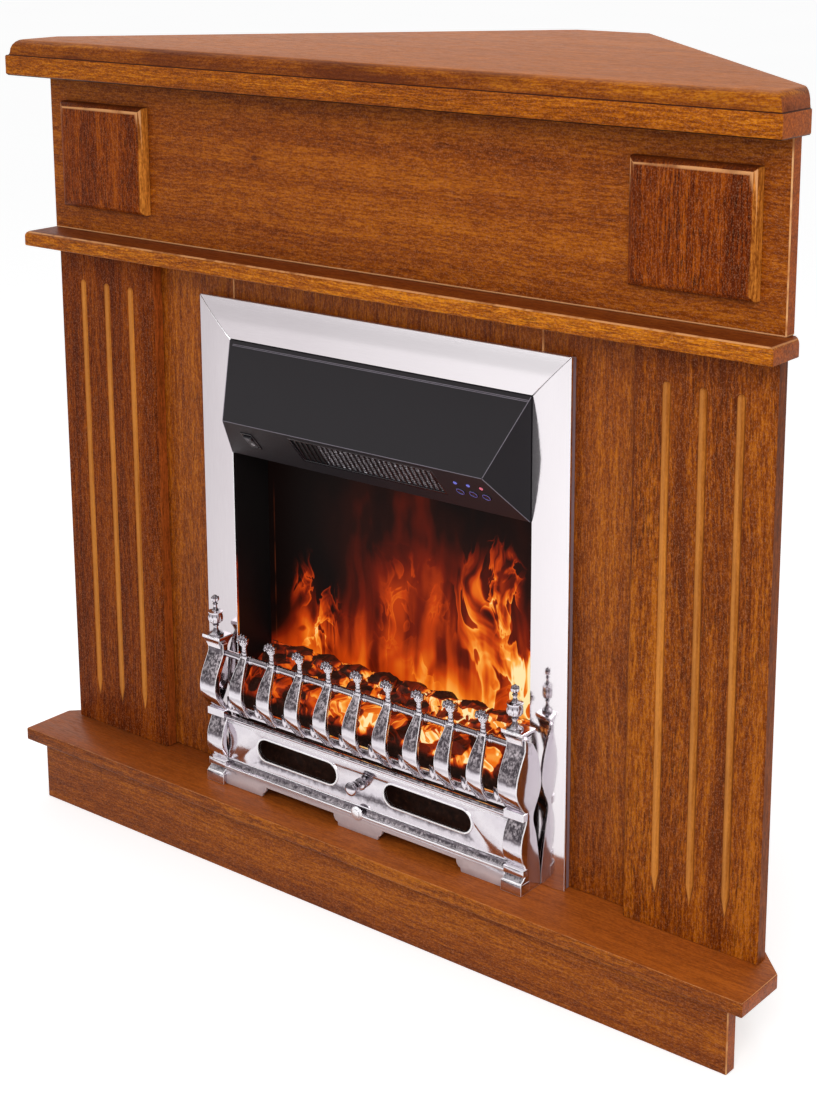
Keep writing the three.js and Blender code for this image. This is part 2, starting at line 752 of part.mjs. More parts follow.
function makeHood() {
  const outer = hoodForm(hoodSection, insideHalf, hoodRidgeHalf);
  const walls = [hoodWall, -hoodWall, hoodWall, hoodWall, hoodWall];
  const inner = hoodForm(insetOutline(hoodSection, walls), insideHalf - hoodWall, hoodRidgeHalf - hoodWall);
  const through = [-2 * hoodWall, 2 * hoodWall];
  const window = (centre, width, height) => block(centre[0] - width / 2, centre[0] + width / 2,
    centre[1] - height / 2, centre[1] + height / 2, ...through);
  const hole = ([x, y], radius) => turned([[radius, through[0]], [radius, through[1]]]).translate(x, y, 0);
  const cutters = [
    window(grillePlace, grilleLength, grilleHeight),
    window(rockerPlace, rockerWidth + 2 * fit, rockerLength + 2 * rockerEndGap),
    ...buttonPlaces.map((place) => hole(place, buttonRadius + fit)),
    ...indicatorPlaces.map((place) => hole(place, indicatorRadius + fit)),
  ];
  return cut(outer, [inner, ...cutters.map((cutter) => cutter.applyMatrix4(slope.matrix))]);
}

function makeGrille() {
  const [width, height] = [grilleLength - 2 * fit, grilleHeight - 2 * fit];
  const pitch = width / grilleSlatCount;
  const reach = height / 2 - grilleSlatWidth;
  const slotHalf = (pitch - grilleSlatWidth) / 2;
  const plate = block(-width / 2, width / 2, -height / 2, height / 2, -grilleThickness, 0);
  const slots = places(grilleSlatCount - 1, pitch).map((x) => block(x - slotHalf, x + slotHalf,
    -reach, reach, -2 * grilleThickness, grilleThickness));
  return cut(plate, slots).translate(...grillePlace, -fit);
}

function makeRocker() {
  const half = rockerLength / 2;
  const dip = half * Math.tan(THREE.MathUtils.degToRad(rockerTilt));
  const outline = [[-half, -rockerDepth], [half, -rockerDepth], [half, rockerRise], [0, rockerRise - dip],
    [-half, rockerRise]];
  return alongX(outline, -rockerWidth / 2, rockerWidth / 2).translate(0, 0, rockerPivotDepth);
}

function makeButton() {
  const rim = wallInside - buttonFlangeThickness;
  return turned([
    [buttonStemRadius, rim - buttonStem], [buttonStemRadius, rim],
    [buttonRadius + buttonFlange, rim], [buttonRadius + buttonFlange, wallInside],
    [buttonRadius, wallInside], [buttonRadius, buttonProud],
  ]);
}

function makeIndicatorStrip() {
  const [first, last] = [indicatorPlaces[0], indicatorPlaces.at(-1)];
  const [low, high] = [first[1] - indicatorStripWidth / 2, first[1] + indicatorStripWidth / 2];
  const strip = block(first[0] - indicatorStripMargin, last[0] + indicatorStripMargin, low, high,
    wallInside - boardPlate, wallInside);
  const profile = [[indicatorRadius, wallInside - boardPlate / 2], [indicatorRadius, indicatorProud]];
  const lenses = indicatorPlaces.map(([x, y]) => turned(profile, 10).translate(x, y, 0));
  return joined([strip, ...lenses]);
}

function makeControlBoard() {
  const pressed = wallInside - buttonFlangeThickness - buttonStem - buttonTravel - fit;
  const reach = ((buttonCount - 1) / 2) * buttonPitch + controlMargin;
  const plate = block(buttonOffset - reach, buttonOffset + reach, -buttonDrop - controlHeight / 2,
    -buttonDrop + controlHeight / 2, pressed - boardPlate, pressed);
  const profile = [[controlPillarRadius, pressed - boardPlate / 2], [controlPillarRadius, wallInside]];
  const pillar = (x, y) => turned(profile, 8).translate(buttonOffset + x, y - buttonDrop, 0);
  const pillars = places(2, 2 * (reach - controlPillarRadius)).flatMap((x) => (
    places(2, controlPillarSpacing).map((y) => pillar(x, y))));
  return joined([plate, ...pillars]);
}

add('hood_cover', makeHood(), blackPlastic);
add('outlet_grille', makeGrille(), blackPlastic, slope);
const rocker = add('rocker_switch', makeRocker(), blackPlastic, slope);
rocker.position.set(...rockerPlace, -rockerPivotDepth);
rocker.rotation.x = THREE.MathUtils.degToRad(rockerTilt);
buttonPlaces.forEach(([x, y], i) => {
  add(`button_${i + 1}`, makeButton(), blackPlastic, slope).position.set(x, y, 0);
});
add('indicator_strip', makeIndicatorStrip(), indicatorLens, slope);
add('control_board', makeControlBoard(), copperBoard, slope);

// ---------- fan heater inside the hood ----------
const hoodRoof = hoodTop - hoodWall - fit;
const fanY = trimFront + fanBack;
const fanZ = hoodRoof - fanDrop;
const elementY = trimFront - elementForward;
const elementZ = hoodRoof - elementDrop;
const cradleInner = fanLength / 2 + fanCradleGap;
const cradleOuter = cradleInner + cradleSheet;

// a piece made upright on the Z axis, laid along X at a height
function laid(geometry, y, z) {
  return geometry.rotateY(Math.PI / 2).translate(0, y, z);
}

function rod(radius, lo, hi, segments = 12) {
  return turned([[radius, lo], [radius, hi]], segments);
}

function makeFanCradle() {
  const ear = fanEar.map(([back, up]) => [fanY + back, fanZ + up]);
  const plate = block(-cradleOuter, cradleOuter, fanY + fanPlateFront, fanY + fanPlateBack,
    hoodRoof - cradleSheet, hoodRoof);
  const ears = [alongX(ear, -cradleOuter, -cradleInner), alongX(ear, cradleInner, cradleOuter)];
  const bore = laid(rod(fanShaftRadius + fit, -2 * cradleOuter, 2 * cradleOuter), fanY, fanZ);
  return cut(joined([plate, ...ears]), [bore]);
}

function makeFan() {
  const half = fanLength / 2;
  const blades = Array.from({ length: fanBladeCount }, (_, i) => {
    const blade = block(fanRadius - fanBladeDepth, fanRadius - fanBladeInset, -fanBladeThickness / 2,
      fanBladeThickness / 2, -half + fanDiscThickness / 2, half - fanDiscThickness / 2);
    return blade.rotateZ((2 * Math.PI * i) / fanBladeCount);
  });
  const discs = places(3, half - fanDiscThickness / 2).map((x) => (
    rod(fanRadius, x - fanDiscThickness / 2, x + fanDiscThickness / 2, 16)));
  const drum = joined([rod(fanShaftRadius, -cradleOuter, cradleOuter), ...discs, ...blades]);
  return laid(drum, fanY, fanZ);
}

// small motor beside the outer face of a cradle at x
function makeMotor(x, y, z) {
  const [start, end] = [x + fit, x + fit + motorLength];
  const profile = [[motorEndRadius, start], [motorRadius, start + motorChamfer],
    [motorRadius, end - motorChamfer], [motorEndRadius, end]];
  return laid(turned(profile), y, z);
}

function makeElement() {
  const half = cradleInner - fit;
  const [depth, height] = [elementDepth / 2, elementHeight / 2];
  const [low, high] = [elementZ - height, elementZ + height];
  const front = elementY - depth;
  const slots = places(elementSlotCount, (2 * half) / (elementSlotCount + 1)).map((x) => block(
    x - elementSlotWidth / 2, x + elementSlotWidth / 2, front - elementSlotDepth, front + elementSlotDepth,
    low + elementRim, high - elementRim));
  return cut(block(-half, half, front, elementY + depth, low, high), slots);
}

add('fan_cradle', makeFanCradle(), galvanised);
add('heater_fan', makeFan(), blackSteel);
add('fan_motor', makeMotor(cradleOuter, fanY, fanZ), galvanised);
add('heater_element', makeElement(), galvanised);

// ---------- flame effect ----------
const screenFront = trimFront + screenBack;
const spindleY = trimFront + spindleBack;
const spindleZ = caseFloor + spindleHeight;

function makeSpindle() {
  const fins = places(spindleFinCount, (2 * spindleHalf) / spindleFinCount).map((x, i) => {
    const [w, h, t] = [spindleFinSpan / 2, spindleFinWidth / 2, spindleFinThickness / 2];
    return block(-h, h, -t, t, x - w, x + w).rotateZ((Math.PI / spindleFinCount) * 2 * i);
  });
  const journals = rod(fanShaftRadius, -spindleEnd, spindleEnd);
  const core = rod(spindleRadius, -spindleHalf, spindleHalf);
  return laid(joined([core, journals, ...fins]), spindleY, spindleZ);
}

function makeSpindleCradle() {
  const inner = spindleEnd - cradleSheet;
  const floor = caseFloor + fit;
  const [front, back] = [spindleY + spindleEar.front, spindleY + spindleEar.back];
  const { foot, head, neck } = spindleEar;
  const ear = [[front, floor], [back, floor], [back, floor + foot], [spindleY + head, spindleZ + head],
    [spindleY - head, spindleZ + head], [spindleY - head, spindleZ - head], [front, spindleZ - neck]];
  const plate = block(-spindleEnd, spindleEnd, front, back, floor, floor + cradleSheet);
  const ears = [alongX(ear, -spindleEnd, -inner), alongX(ear, inner, spindleEnd)];
  const bore = laid(rod(fanShaftRadius + fit, -2 * spindleEnd, 2 * spindleEnd), spindleY, spindleZ);
  return cut(joined([plate, ...ears]), [bore]);
}

function makeLedBoard() {
  const y = (screenFront + screenThickness + spindleY + spindleEar.front) / 2;
  const half = spindleHalf - ledBoardInset;
  const top = caseFloor + fit + boardPlate;
  const plate = block(-half, half, y - ledBoardWidth / 2, y + ledBoardWidth / 2, top - boardPlate, top);
  const leds = places(ledCount, (2 * half) / (ledCount + 1)).map((x) => block(x - ledSize / 2,
    x + ledSize / 2, y - ledSize / 2, y + ledSize / 2, top - boardPlate / 2, top + ledSize / 2));
  return joined([plate, ...leds]);
}

// heap of coals on a tray, lying against the screen
function makeFuelBed() {
  const front = trimFront + bedSetback;
  const back = screenFront - fit;
  const floor = caseFloor + fit;
  const heap = [[front, floor], [back, floor], [back, fireBase + bedRearHeight],
    [front + bedShoulder, fireBase + bedFrontHeight], [front, fireBase + bedFrontHeight - bedShoulder]];
  const low = bedFrontHeight - bedShoulder;
  const longest = Math.max(...coalRows.map(({ count }) => count));
  const pitch = (2 * (insideHalf - coalEndSpace)) / (longest - 1);
  const coals = coalRows.flatMap(({ count, share, lift }) => places(count, pitch).map((x, i) => {
    const lump = new THREE.DodecahedronGeometry(coalRadius, 0);
    lump.rotateX(i).rotateZ(2 * i).scale(...coalStretch);
    const height = low + (bedRearHeight - low) * share + lift * coalRadius;
    return lump.translate(x, front + (back - front) * share, fireBase + height);
  }));
  const screenSide = block(-insideHalf, insideHalf, back, back + 4 * coalRadius, 0, trimTop);
  return cut(joined([alongX(heap, -insideHalf, insideHalf), ...coals]), [screenSide]);
}

function makeGland() {
  const body = turned([[glandFlangeRadius, 0], [glandFlangeRadius, glandFlangeThickness],
    [glandRadius, glandFlangeThickness + 1], [glandRadius, glandLength]]);
  const bore = rod(glandBoreRadius, glandLength / 2, 2 * glandLength, 10);
  const gland = cut(body, [bore]).rotateX(-Math.PI / 2);
  return gland.translate(caseHalf - glandInset, caseBack + fit, caseFloor + glandHeight);
}

add('flame_screen', block(-insideHalf, insideHalf, screenFront, screenFront + screenThickness,
  caseFloor + fit, caseRoof - fit), smokedScreen);
add('flame_spindle', makeSpindle(), galvanised);
add('spindle_cradle', makeSpindleCradle(), galvanised);
add('spindle_motor', makeMotor(spindleEnd, spindleY, spindleZ), galvanised);
add('led_board', makeLedBoard(), copperBoard);
add('fuel_bed', makeFuelBed(), embers);
add('cable_gland', makeGland(), blackPlastic);

// ---------- fret ----------
const postInner = fretHalf - postWidth;
const railFront = trimFront - railBack - topRailRadius;
const railReach = postInner - fit;
const barBack = railFront - fit;
const barFoot = fireBase + lowerRailHeight;
const barTop = fireBase + topRailHeight + topRailRadius;
const barPitch = (2 * postInner) / (barCount + barEndSpace);
const barPlaces = places(barCount, barPitch);

// swelling of a bar in front of the rails, fullest below its middle
function swell(share) {
  return barBulge * Math.sin(Math.PI * share ** barBulgeSkew);
}

function makeBar() {
  const steps = 12;
  const back = Array.from({ length: steps + 1 }, (_, i) => {
    const share = i / steps;
    return [barBack - swell(share), barFoot + (barTop - barFoot) * share];
  });
  const front = back.map(([y, z]) => [y - barThickness, z]);
  const strap = alongX([...front, ...back.slice().reverse()].reverse(), -barWidth / 2, barWidth / 2);
  const y = barBack - barThickness / 2;
  const clawTop = fireBase + topRailHeight + clawHeight;
  const neck = lofted(clawNeckRings.map(([share, width, depth]) => {
    const z = barTop - 1 + (clawTop - barTop) * share;
    const [w, d] = [width / 2, depth / 2];
    return [[-w, y - d, z], [w, y - d, z], [w, y + d, z], [-w, y + d, z]];
  }));
  const fist = ball(clawRadius, 0, 0, 0).scale(...clawShape).translate(0, y, clawTop - clawRadius);
  const toes = places(toeCount, (2 * clawRadius) / toeCount).map((x) => {
    const drop = toeArch * (x / clawRadius) ** 2;
    return ball(toeRadius, x, y - toeForward, clawTop - toeRadius - drop, 0);
  });
  return joined([strap, neck, fist, ...toes]);
}

// round rail with a collar on both sides of each bar
function makeFretRail() {
  const profile = [[topRailRadius, -railReach]];
  for (const x of barPlaces) {
    for (const side of [-1, 1]) {
      const start = x + side * (barWidth / 2 + fit) + (side < 0 ? -collarWidth : 0);
      profile.push([topRailRadius, start], [collarRadius, start + 0.5]);
      profile.push([collarRadius, start + collarWidth - 0.5], [topRailRadius, start + collarWidth]);
    }
  }
  profile.push([topRailRadius, railReach]);
  return laid(turned(profile, 8), railFront + topRailRadius, fireBase + topRailHeight);
}

// flat rail with a pair of small leaves in each gap
function makeLowerRail() {
  const [z, back] = [fireBase + lowerRailHeight, railFront + lowerRailDepth];
  const top = z + lowerRailRise;
  const profile = [[railFront, z], [back, z], [back, top], [railFront + lowerRailChamfer[0], top],
    [railFront, top - lowerRailChamfer[1]]];
  const leaves = places(barCount + 1, barPitch).flatMap((x) => places(2, 2 * leafSpread).map((side) => {
    const leaf = ball(leafRadius, 0, 0, 0, 0).scale(...leafShape);
    return leaf.translate(x + side, railFront + leafBack, top);
  }));
  return joined([alongX(profile, -railReach, railReach), ...leaves]);
}

// front edge of the end casting as [y, height], from the foot up to the cap
function postFront() {
  const foot = postFoot.map(([back, height]) => [fretFront + back, height]);
  const steps = 10;
  const bulge = Array.from({ length: steps }, (_, i) => {
    const share = (i + 1) / steps;
    const height = lowerRailHeight + (topRailHeight - lowerRailHeight) * share;
    return [barBack - barThickness - swell(share), height];
  });
  return [...foot, ...bulge, [barBack - barThickness, postHeight - postCapHeight]];
}

function makeFretEnd(side) {
  const front = postFront().map(([y, height]) => [y, fireBase + height]);
  const rear = sidePlateRear.map(([forward, height]) => [fretBack - forward, fireBase + height]);
  const plate = [...front, ...rear.reverse()];
  const back = front.map(([y, z]) => [y + postThickness, z]);
  const strap = [...front, ...back.reverse()];
  const across = side < 0
    ? { plate: [-fretHalf, -fretHalf + sidePlateThickness], strap: [-fretHalf, -postInner] }
    : { plate: [fretHalf - sidePlateThickness, fretHalf], strap: [postInner, fretHalf] };
  const x = side * (fretHalf - postWidth / 2);
  const y = barBack - barThickness + postThickness / 2;
  const capTop = fireBase + postHeight;
  const cap = lofted(postCapRings.map(([down, share]) => {
    const [w, d] = [(postCapWidth / 2) * share, (postCapDepth / 2) * share];
    const z = capTop - down * postCapHeight;
    return [[x - w, y - d, z], [x + w, y - d, z], [x + w, y + d, z], [x - w, y + d, z]];
  }));
  return joined([
    alongX(plate.reverse(), ...across.plate),
    alongX(strap.reverse(), ...across.strap),
    cap,
  ]);
}

function makeFinial(side) {
  const y = barBack - barThickness + postThickness / 2;
  const finial = turned(finialProfile.map(([r, z]) => [r * postWidth, z * finialHeight]), 12);
  return finial.translate(side * (fretHalf - postWidth / 2), y, fireBase + postHeight + fit);
}

const coverHalf = railReach - fit;
const coverFace = railFront + coverSetback;
const coverBack = coverFace + coverThickness;
const slotZ = fireBase + coverSlotCentre;

function slotOutline(x) {
  const radius = coverSlotHeight / 2;
  const run = coverSlotLength / 2 - radius;
  return [...arc(x + run, slotZ, radius, -90, 90, 8), ...arc(x - run, slotZ, radius, 90, 270, 8)].reverse();
}

// skirt under the lower moulding: feet at both ends and in the middle, arches between them
function skirtOutline() {
  const top = fireBase + coverMouldHeight - coverMouldRise / 2;
  const low = fireBase;
  const arch = fireBase + coverArchHeight;
  const feet = [[-coverHalf, -coverHalf + coverFootWidth], [-coverFootWidth / 2, coverFootWidth / 2],
    [coverHalf - coverFootWidth, coverHalf]];
  const lower = feet.flatMap(([start, end], i) => {
    const points = [[start, low], [end, low]];
    const turn = arch - coverArchCorner;
    if (i > 0) points.unshift([start - coverArchCorner, arch], [start - coverArchEase, turn]);
    if (i < 2) points.push([end + coverArchEase, turn], [end + coverArchCorner, arch]);
    return points;
  });
  return [...lower, [coverHalf, top], [-coverHalf, top]];
}

function makeCover() {
  const [low, high] = [fireBase + coverMouldHeight, fireBase + coverTop];
  const base = low - coverMouldRise;
  const middle = low - coverMouldRise / 2;
  const reach = coverFace - coverMouldReach;
  const plate = [[-coverHalf, base], [coverHalf, base], [coverHalf, high], [-coverHalf, high]];
  const slots = [slotOutline(-coverSlotOffset), slotOutline(coverSlotOffset)];
  const moulding = [[coverFace + coverLip, low], [coverFace - coverMouldReach / 2, low - 2 * coverLip],
    [reach, middle], [reach, base], [coverBack, base], [coverBack, low]];
  const beadFront = coverFace - 2 * coverLip;
  const bead = [[coverFace + coverLip, high - coverTopBead], [beadFront, high - coverTopBead + coverLip],
    [beadFront, high - coverLip], [coverFace + coverLip, high]];
  const skirtFront = reach + coverSkirtSetback;
  const boss = ball(bossRadius, 0, 0, 0).scale(...bossShape);
  return joined([
    alongY(plate, coverFace, coverBack, slots),
    alongX(moulding, -coverHalf, coverHalf),
    alongX(bead, -coverHalf, coverHalf),
    alongY(skirtOutline(), skirtFront, skirtFront + coverThickness),
    boss.translate(0, reach, middle),
  ]);
}

function makeKnob() {
  const knob = turned(knobProfile.map(([r, z]) => [r * knobRadius, z * knobLength]), 12);
  return knob.rotateX(Math.PI / 2).translate(0, coverFace - fit, slotZ);
}

pair('fret_end', makeFretEnd, chrome);
pair('finial', makeFinial, chrome);
add('fret_top_rail', makeFretRail(), chrome);
add('fret_lower_rail', makeLowerRail(), chrome);
barPlaces.forEach((x, i) => {
  add(`fret_bar_${i + 1}`, makeBar(), chrome).position.x = x;
});
add('ash_pan_cover', makeCover(), chrome);
add('ash_pan_knob', makeKnob(), chrome);

export default fireplace;
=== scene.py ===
"""A corner fireplace: a veneered surround with an inset electric fire and a cast chrome fret in front of it."""

import math

import bpy
from mathutils import Matrix, Vector


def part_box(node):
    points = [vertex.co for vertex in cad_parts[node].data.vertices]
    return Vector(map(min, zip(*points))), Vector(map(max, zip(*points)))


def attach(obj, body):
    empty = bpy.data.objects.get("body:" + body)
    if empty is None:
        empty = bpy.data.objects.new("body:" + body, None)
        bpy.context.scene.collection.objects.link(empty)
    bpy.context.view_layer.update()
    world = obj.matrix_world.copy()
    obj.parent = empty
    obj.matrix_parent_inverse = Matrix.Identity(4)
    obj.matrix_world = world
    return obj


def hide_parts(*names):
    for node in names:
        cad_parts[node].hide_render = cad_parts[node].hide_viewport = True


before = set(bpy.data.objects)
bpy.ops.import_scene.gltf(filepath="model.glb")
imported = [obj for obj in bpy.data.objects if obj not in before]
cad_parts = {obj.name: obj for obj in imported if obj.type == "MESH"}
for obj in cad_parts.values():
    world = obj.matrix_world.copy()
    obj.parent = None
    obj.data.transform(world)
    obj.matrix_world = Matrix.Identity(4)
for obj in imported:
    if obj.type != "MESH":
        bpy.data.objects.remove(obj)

bl_info = {
    "name": "Corner Fireplace",
    "version": (1, 0, 0),
    "blender": (4, 5, 0),
    "location": "3D View > Sidebar > Fireplace",
    "description": "Veneered corner surround, inset electric fire and chrome fret",
    "category": "Object",
}

MM = 0.001


def tone(red, green, blue):
    """A display colour of 0 to 255 as the linear colour that shaders take."""
    shares = [value / 255 for value in (red, green, blue)]
    return tuple(s / 12.92 if s <= 0.04045 else ((s + 0.055) / 1.055) ** 2.4 for s in shares)


def scaled(colour, *shares):
    """A colour made darker or paler, by one share or by one for each channel."""
    return tuple(value * share for value, share in zip(colour, shares * 3 if len(shares) == 1 else shares))


def settings():
    return bpy.context.scene.fireplace


def middle_of(node):
    low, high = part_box(node)
    return (low + high) / 2


# ---------- outlines ----------

def drawn(points, u=0.0, v=0.0):
    """Points given in millimetres from (u, v)."""
    return [(u + a * MM, v + b * MM) for a, b in points]


def oblong(left, foot, right, head):
    return [(left, foot), (right, foot), (right, head), (left, head)]


def softened(points, steps=5):
    """The same run of points with its corners carried through on a smooth curve."""
    run = []
    for i in range(len(points) - 1):
        before, a, b, after = (points[max(0, min(len(points) - 1, i + k))] for k in (-1, 0, 1, 2))
        for step in range(steps):
            t = step / steps
            run.append(tuple(
                0.5 * (2 * a[k] + (b[k] - before[k]) * t
                       + (2 * before[k] - 5 * a[k] + 4 * b[k] - after[k]) * t ** 2
                       + (3 * a[k] - before[k] - 3 * b[k] + after[k]) * t ** 3) for k in (0, 1)))
    return run + [points[-1]]


def stand(axis, u, v, w):
    """A point of an outline drawn across an axis: (y, z) across X, (x, z) across Y, (x, y) across Z."""
    return {"X": (w, u, v), "Y": (u, w, v), "Z": (u, v, w)}[axis]


# ---------- modelling by hand ----------

def pick(*pieces):
    """Leaves edit mode and selects only these pieces, the first of them active."""
    if bpy.context.object and bpy.context.object.mode != "OBJECT":
        bpy.ops.object.mode_set(mode="OBJECT")
    bpy.ops.object.select_all(action="DESELECT")
    for piece in pieces:
        piece.select_set(True)
    bpy.context.view_layer.objects.active = pieces[0]


def edit(piece, test=None):
    """Opens the piece in edit mode with all of it selected, or the faces whose centre and normal pass the test."""
    pick(piece)
    bpy.ops.object.mode_set(mode="EDIT")
    bpy.ops.mesh.select_mode(type="FACE")
    bpy.ops.mesh.select_all(action="SELECT")
    if test:
        bpy.ops.mesh.select_all(action="DESELECT")
        bpy.ops.object.mode_set(mode="OBJECT")
        for face in piece.data.polygons:
            face.select = test(face.center, face.normal)
        bpy.ops.object.mode_set(mode="EDIT")


def added(name, data):
    """A new object in the scene that carries the data."""
    piece = bpy.data.objects.new(name, data)
    bpy.context.scene.collection.objects.link(piece)
    return piece


def named(name):
    piece = bpy.context.object
    piece.name = piece.data.name = name
    return piece


def settle(piece):
    """Moves the piece's place, turn and scale into its mesh."""
    pick(piece)
    bpy.ops.object.transform_apply(location=True, rotation=True, scale=True)
    return piece


def modify(piece, kind, **values):
    """Puts one modifier on the piece and applies it."""
    pick(piece)
    modifier = piece.modifiers.new(kind.lower(), kind)
    for name, value in values.items():
        setattr(modifier, name, value)
    bpy.ops.object.modifier_apply(modifier=modifier.name)
    return piece


def close(piece, gap=0.005 * MM):
    """Merges doubled vertices and turns all faces outward."""
    edit(piece)
    bpy.ops.mesh.remove_doubles(threshold=gap)
    bpy.ops.mesh.select_all(action="SELECT")
    bpy.ops.mesh.normals_make_consistent(inside=False)
    pick(piece)
    return piece


def round_edges(piece, width, segments=2, angle=30, material=-1):
    """Bevels the sharp edges. The new faces may take a second material."""
    return modify(piece, "BEVEL", width=width, segments=segments, limit_method="ANGLE",
                  angle_limit=math.radians(angle), material=material, use_clamp_overlap=False)


def arrised(piece, width, segments=2, angle=38):
    """Bevels the sharp edges in a second finish. The slots hold stand-ins until the piece is dressed."""
    piece.data.materials.clear()
    for name in ("face_stand_in", "edge_stand_in"):
        piece.data.materials.append(bpy.data.materials.get(name) or bpy.data.materials.new(name))
    return round_edges(piece, width, segments, angle, material=1)


def profiled(name, outline, axis, start, stop):
    """A flat outline filled and extruded along an axis."""
    bpy.ops.mesh.primitive_circle_add(vertices=len(outline), fill_type="NGON")
    piece = named(name)
    for vertex, (u, v) in zip(piece.data.vertices, outline):
        vertex.co = stand(axis, u, v, start)
    edit(piece)
    run = stand(axis, 0, 0, stop - start)
    bpy.ops.mesh.extrude_region_move(TRANSFORM_OT_translate={"value": run})
    return close(piece)


def pierced(name, outlines, axis, start, stop, rounding=0.0):
    """A plate with holes: the first outline is its edge and the others are cut through it."""
    curve = bpy.data.curves.new(name, "CURVE")
    curve.dimensions = "2D"
    curve.fill_mode = "BOTH"
    curve.extrude = (stop - start) / 2 - rounding
    curve.bevel_depth = rounding
    curve.bevel_resolution = 1
    curve.offset = -rounding
    for outline in outlines:
        spline = curve.splines.new("POLY")
        spline.points.add(len(outline) - 1)
        for point, (u, v) in zip(spline.points, outline):
            point.co = (u, v, 0, 1)
        spline.use_cyclic_u = True
    pick(added(name, curve))
    bpy.ops.object.convert(target="MESH")
    piece = named(name)
    middle = (start + stop) / 2
    for vertex in piece.data.vertices:
        vertex.co = stand(axis, vertex.co.x, vertex.co.y, middle + vertex.co.z)
    return close(piece, 0.02 * MM)


def turned(name, profile, centre, axis="Z", steps=32):
    """A profile of (radius, height) spun about an axis through the centre."""
    outward, upward = Vector(stand(axis, 1, 0, 0)), Vector(stand(axis, 0, 0, 1))
    points = [Vector(centre) + outward * radius + upward * height for radius, height in profile]
    mesh = bpy.data.meshes.new(name)
    mesh.from_pydata(points, [(i, i + 1) for i in range(len(points) - 1)], [])
    piece = added(name, mesh)
    pick(piece)
    bpy.ops.object.mode_set(mode="EDIT")
    bpy.ops.mesh.select_mode(type="VERT")
    bpy.ops.mesh.select_all(action="SELECT")
    bpy.ops.mesh.spin(steps=steps, angle=math.tau, center=centre, axis=upward)
    return close(piece)


def block(name, low, high):
    """A box between two corners, to be shaped further."""
    middle = [(a + b) / 2 for a, b in zip(low, high)]
    bpy.ops.mesh.primitive_cube_add(size=1, location=middle, scale=[b - a for a, b in zip(low, high)])
    return settle(named(name))


def lump(origin, offset, radii, turn=(0, 0, 0)):
    """A stretched ball, the clay of the castings. The offset and radii are in millimetres, the turn in degrees."""
    centre = [start + shift * MM for start, shift in zip(origin, offset)]
    bpy.ops.mesh.primitive_ico_sphere_add(subdivisions=2, radius=1, location=centre, scale=[r * MM for r in radii],
                                          rotation=[math.radians(a) for a in turn])
    return settle(named("lump"))


def lump_ring(origin, count, reach, rise, radii):
    """Lumps in a ring round an upright axis."""
    angles = [math.tau * i / count for i in range(count)]
    return [lump(origin, (reach * math.cos(a), reach * math.sin(a), rise), radii) for a in angles]


def join(name, pieces):
    pick(*pieces)
    if len(pieces) > 1:
        bpy.ops.object.join()
    return named(name)


def cast(name, pieces, voxel, softening):
    """Fuses overlapping pieces into one skin, as a casting."""
    piece = join(name, pieces)
    piece.data.remesh_voxel_size = voxel
    bpy.ops.object.voxel_remesh()
    return modify(piece, "SMOOTH", factor=0.5, iterations=softening)


def copy_of(piece, name, shift=0.0, mirror=False):
    """A copy with its own mesh, moved along X or mirrored across the middle plane."""
    twin = added(name, piece.data.copy())
    twin.location.x = shift
    if mirror:
        twin.scale.x = -1
    settle(twin)
    return close(twin) if mirror else twin


def eased(node, width, angle=30):
    """A copy of a CAD node with clean faces, its sharp edges eased in a second material except underneath."""
    piece = added(node + "_eased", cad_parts[node].data.copy())
    piece.data.materials.clear()
    edit(piece)
    bpy.ops.mesh.customdata_custom_splitnormals_clear()
    bpy.ops.mesh.remove_doubles(threshold=0.01 * MM)
    bpy.ops.mesh.select_all(action="SELECT")
    bpy.ops.mesh.dissolve_limited(angle_limit=math.radians(0.5))
    pick(piece)
    arrised(piece, width, 1, angle)
    for face in piece.data.polygons:
        if face.normal.z < -0.2:
            face.material_index = 0
    return piece


def dress(piece, finish, body="surround", nodes=(), edge=None, smooth=30):
    """Gives a piece its finish, its body and the nodes that it stands for."""
    places = [polygon.material_index for polygon in piece.data.polygons]
    piece.data.materials.clear()
    piece.data.materials.append(finish)
    if edge:
        piece.data.materials.append(edge)
    for polygon, index in zip(piece.data.polygons, places):
        polygon.material_index = index if edge else 0
    pick(piece)
    if smooth >= 180:
        bpy.ops.object.shade_smooth()
    else:
        bpy.ops.object.shade_smooth_by_angle(angle=math.radians(smooth))
    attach(piece, body)
    if nodes:
        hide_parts(*nodes)


def paint(finish, *nodes):
    """Gives CAD nodes a finish through their material slots."""
    for node in nodes:
        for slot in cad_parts[node].material_slots:
            slot.material = finish


# ---------- finishes ----------

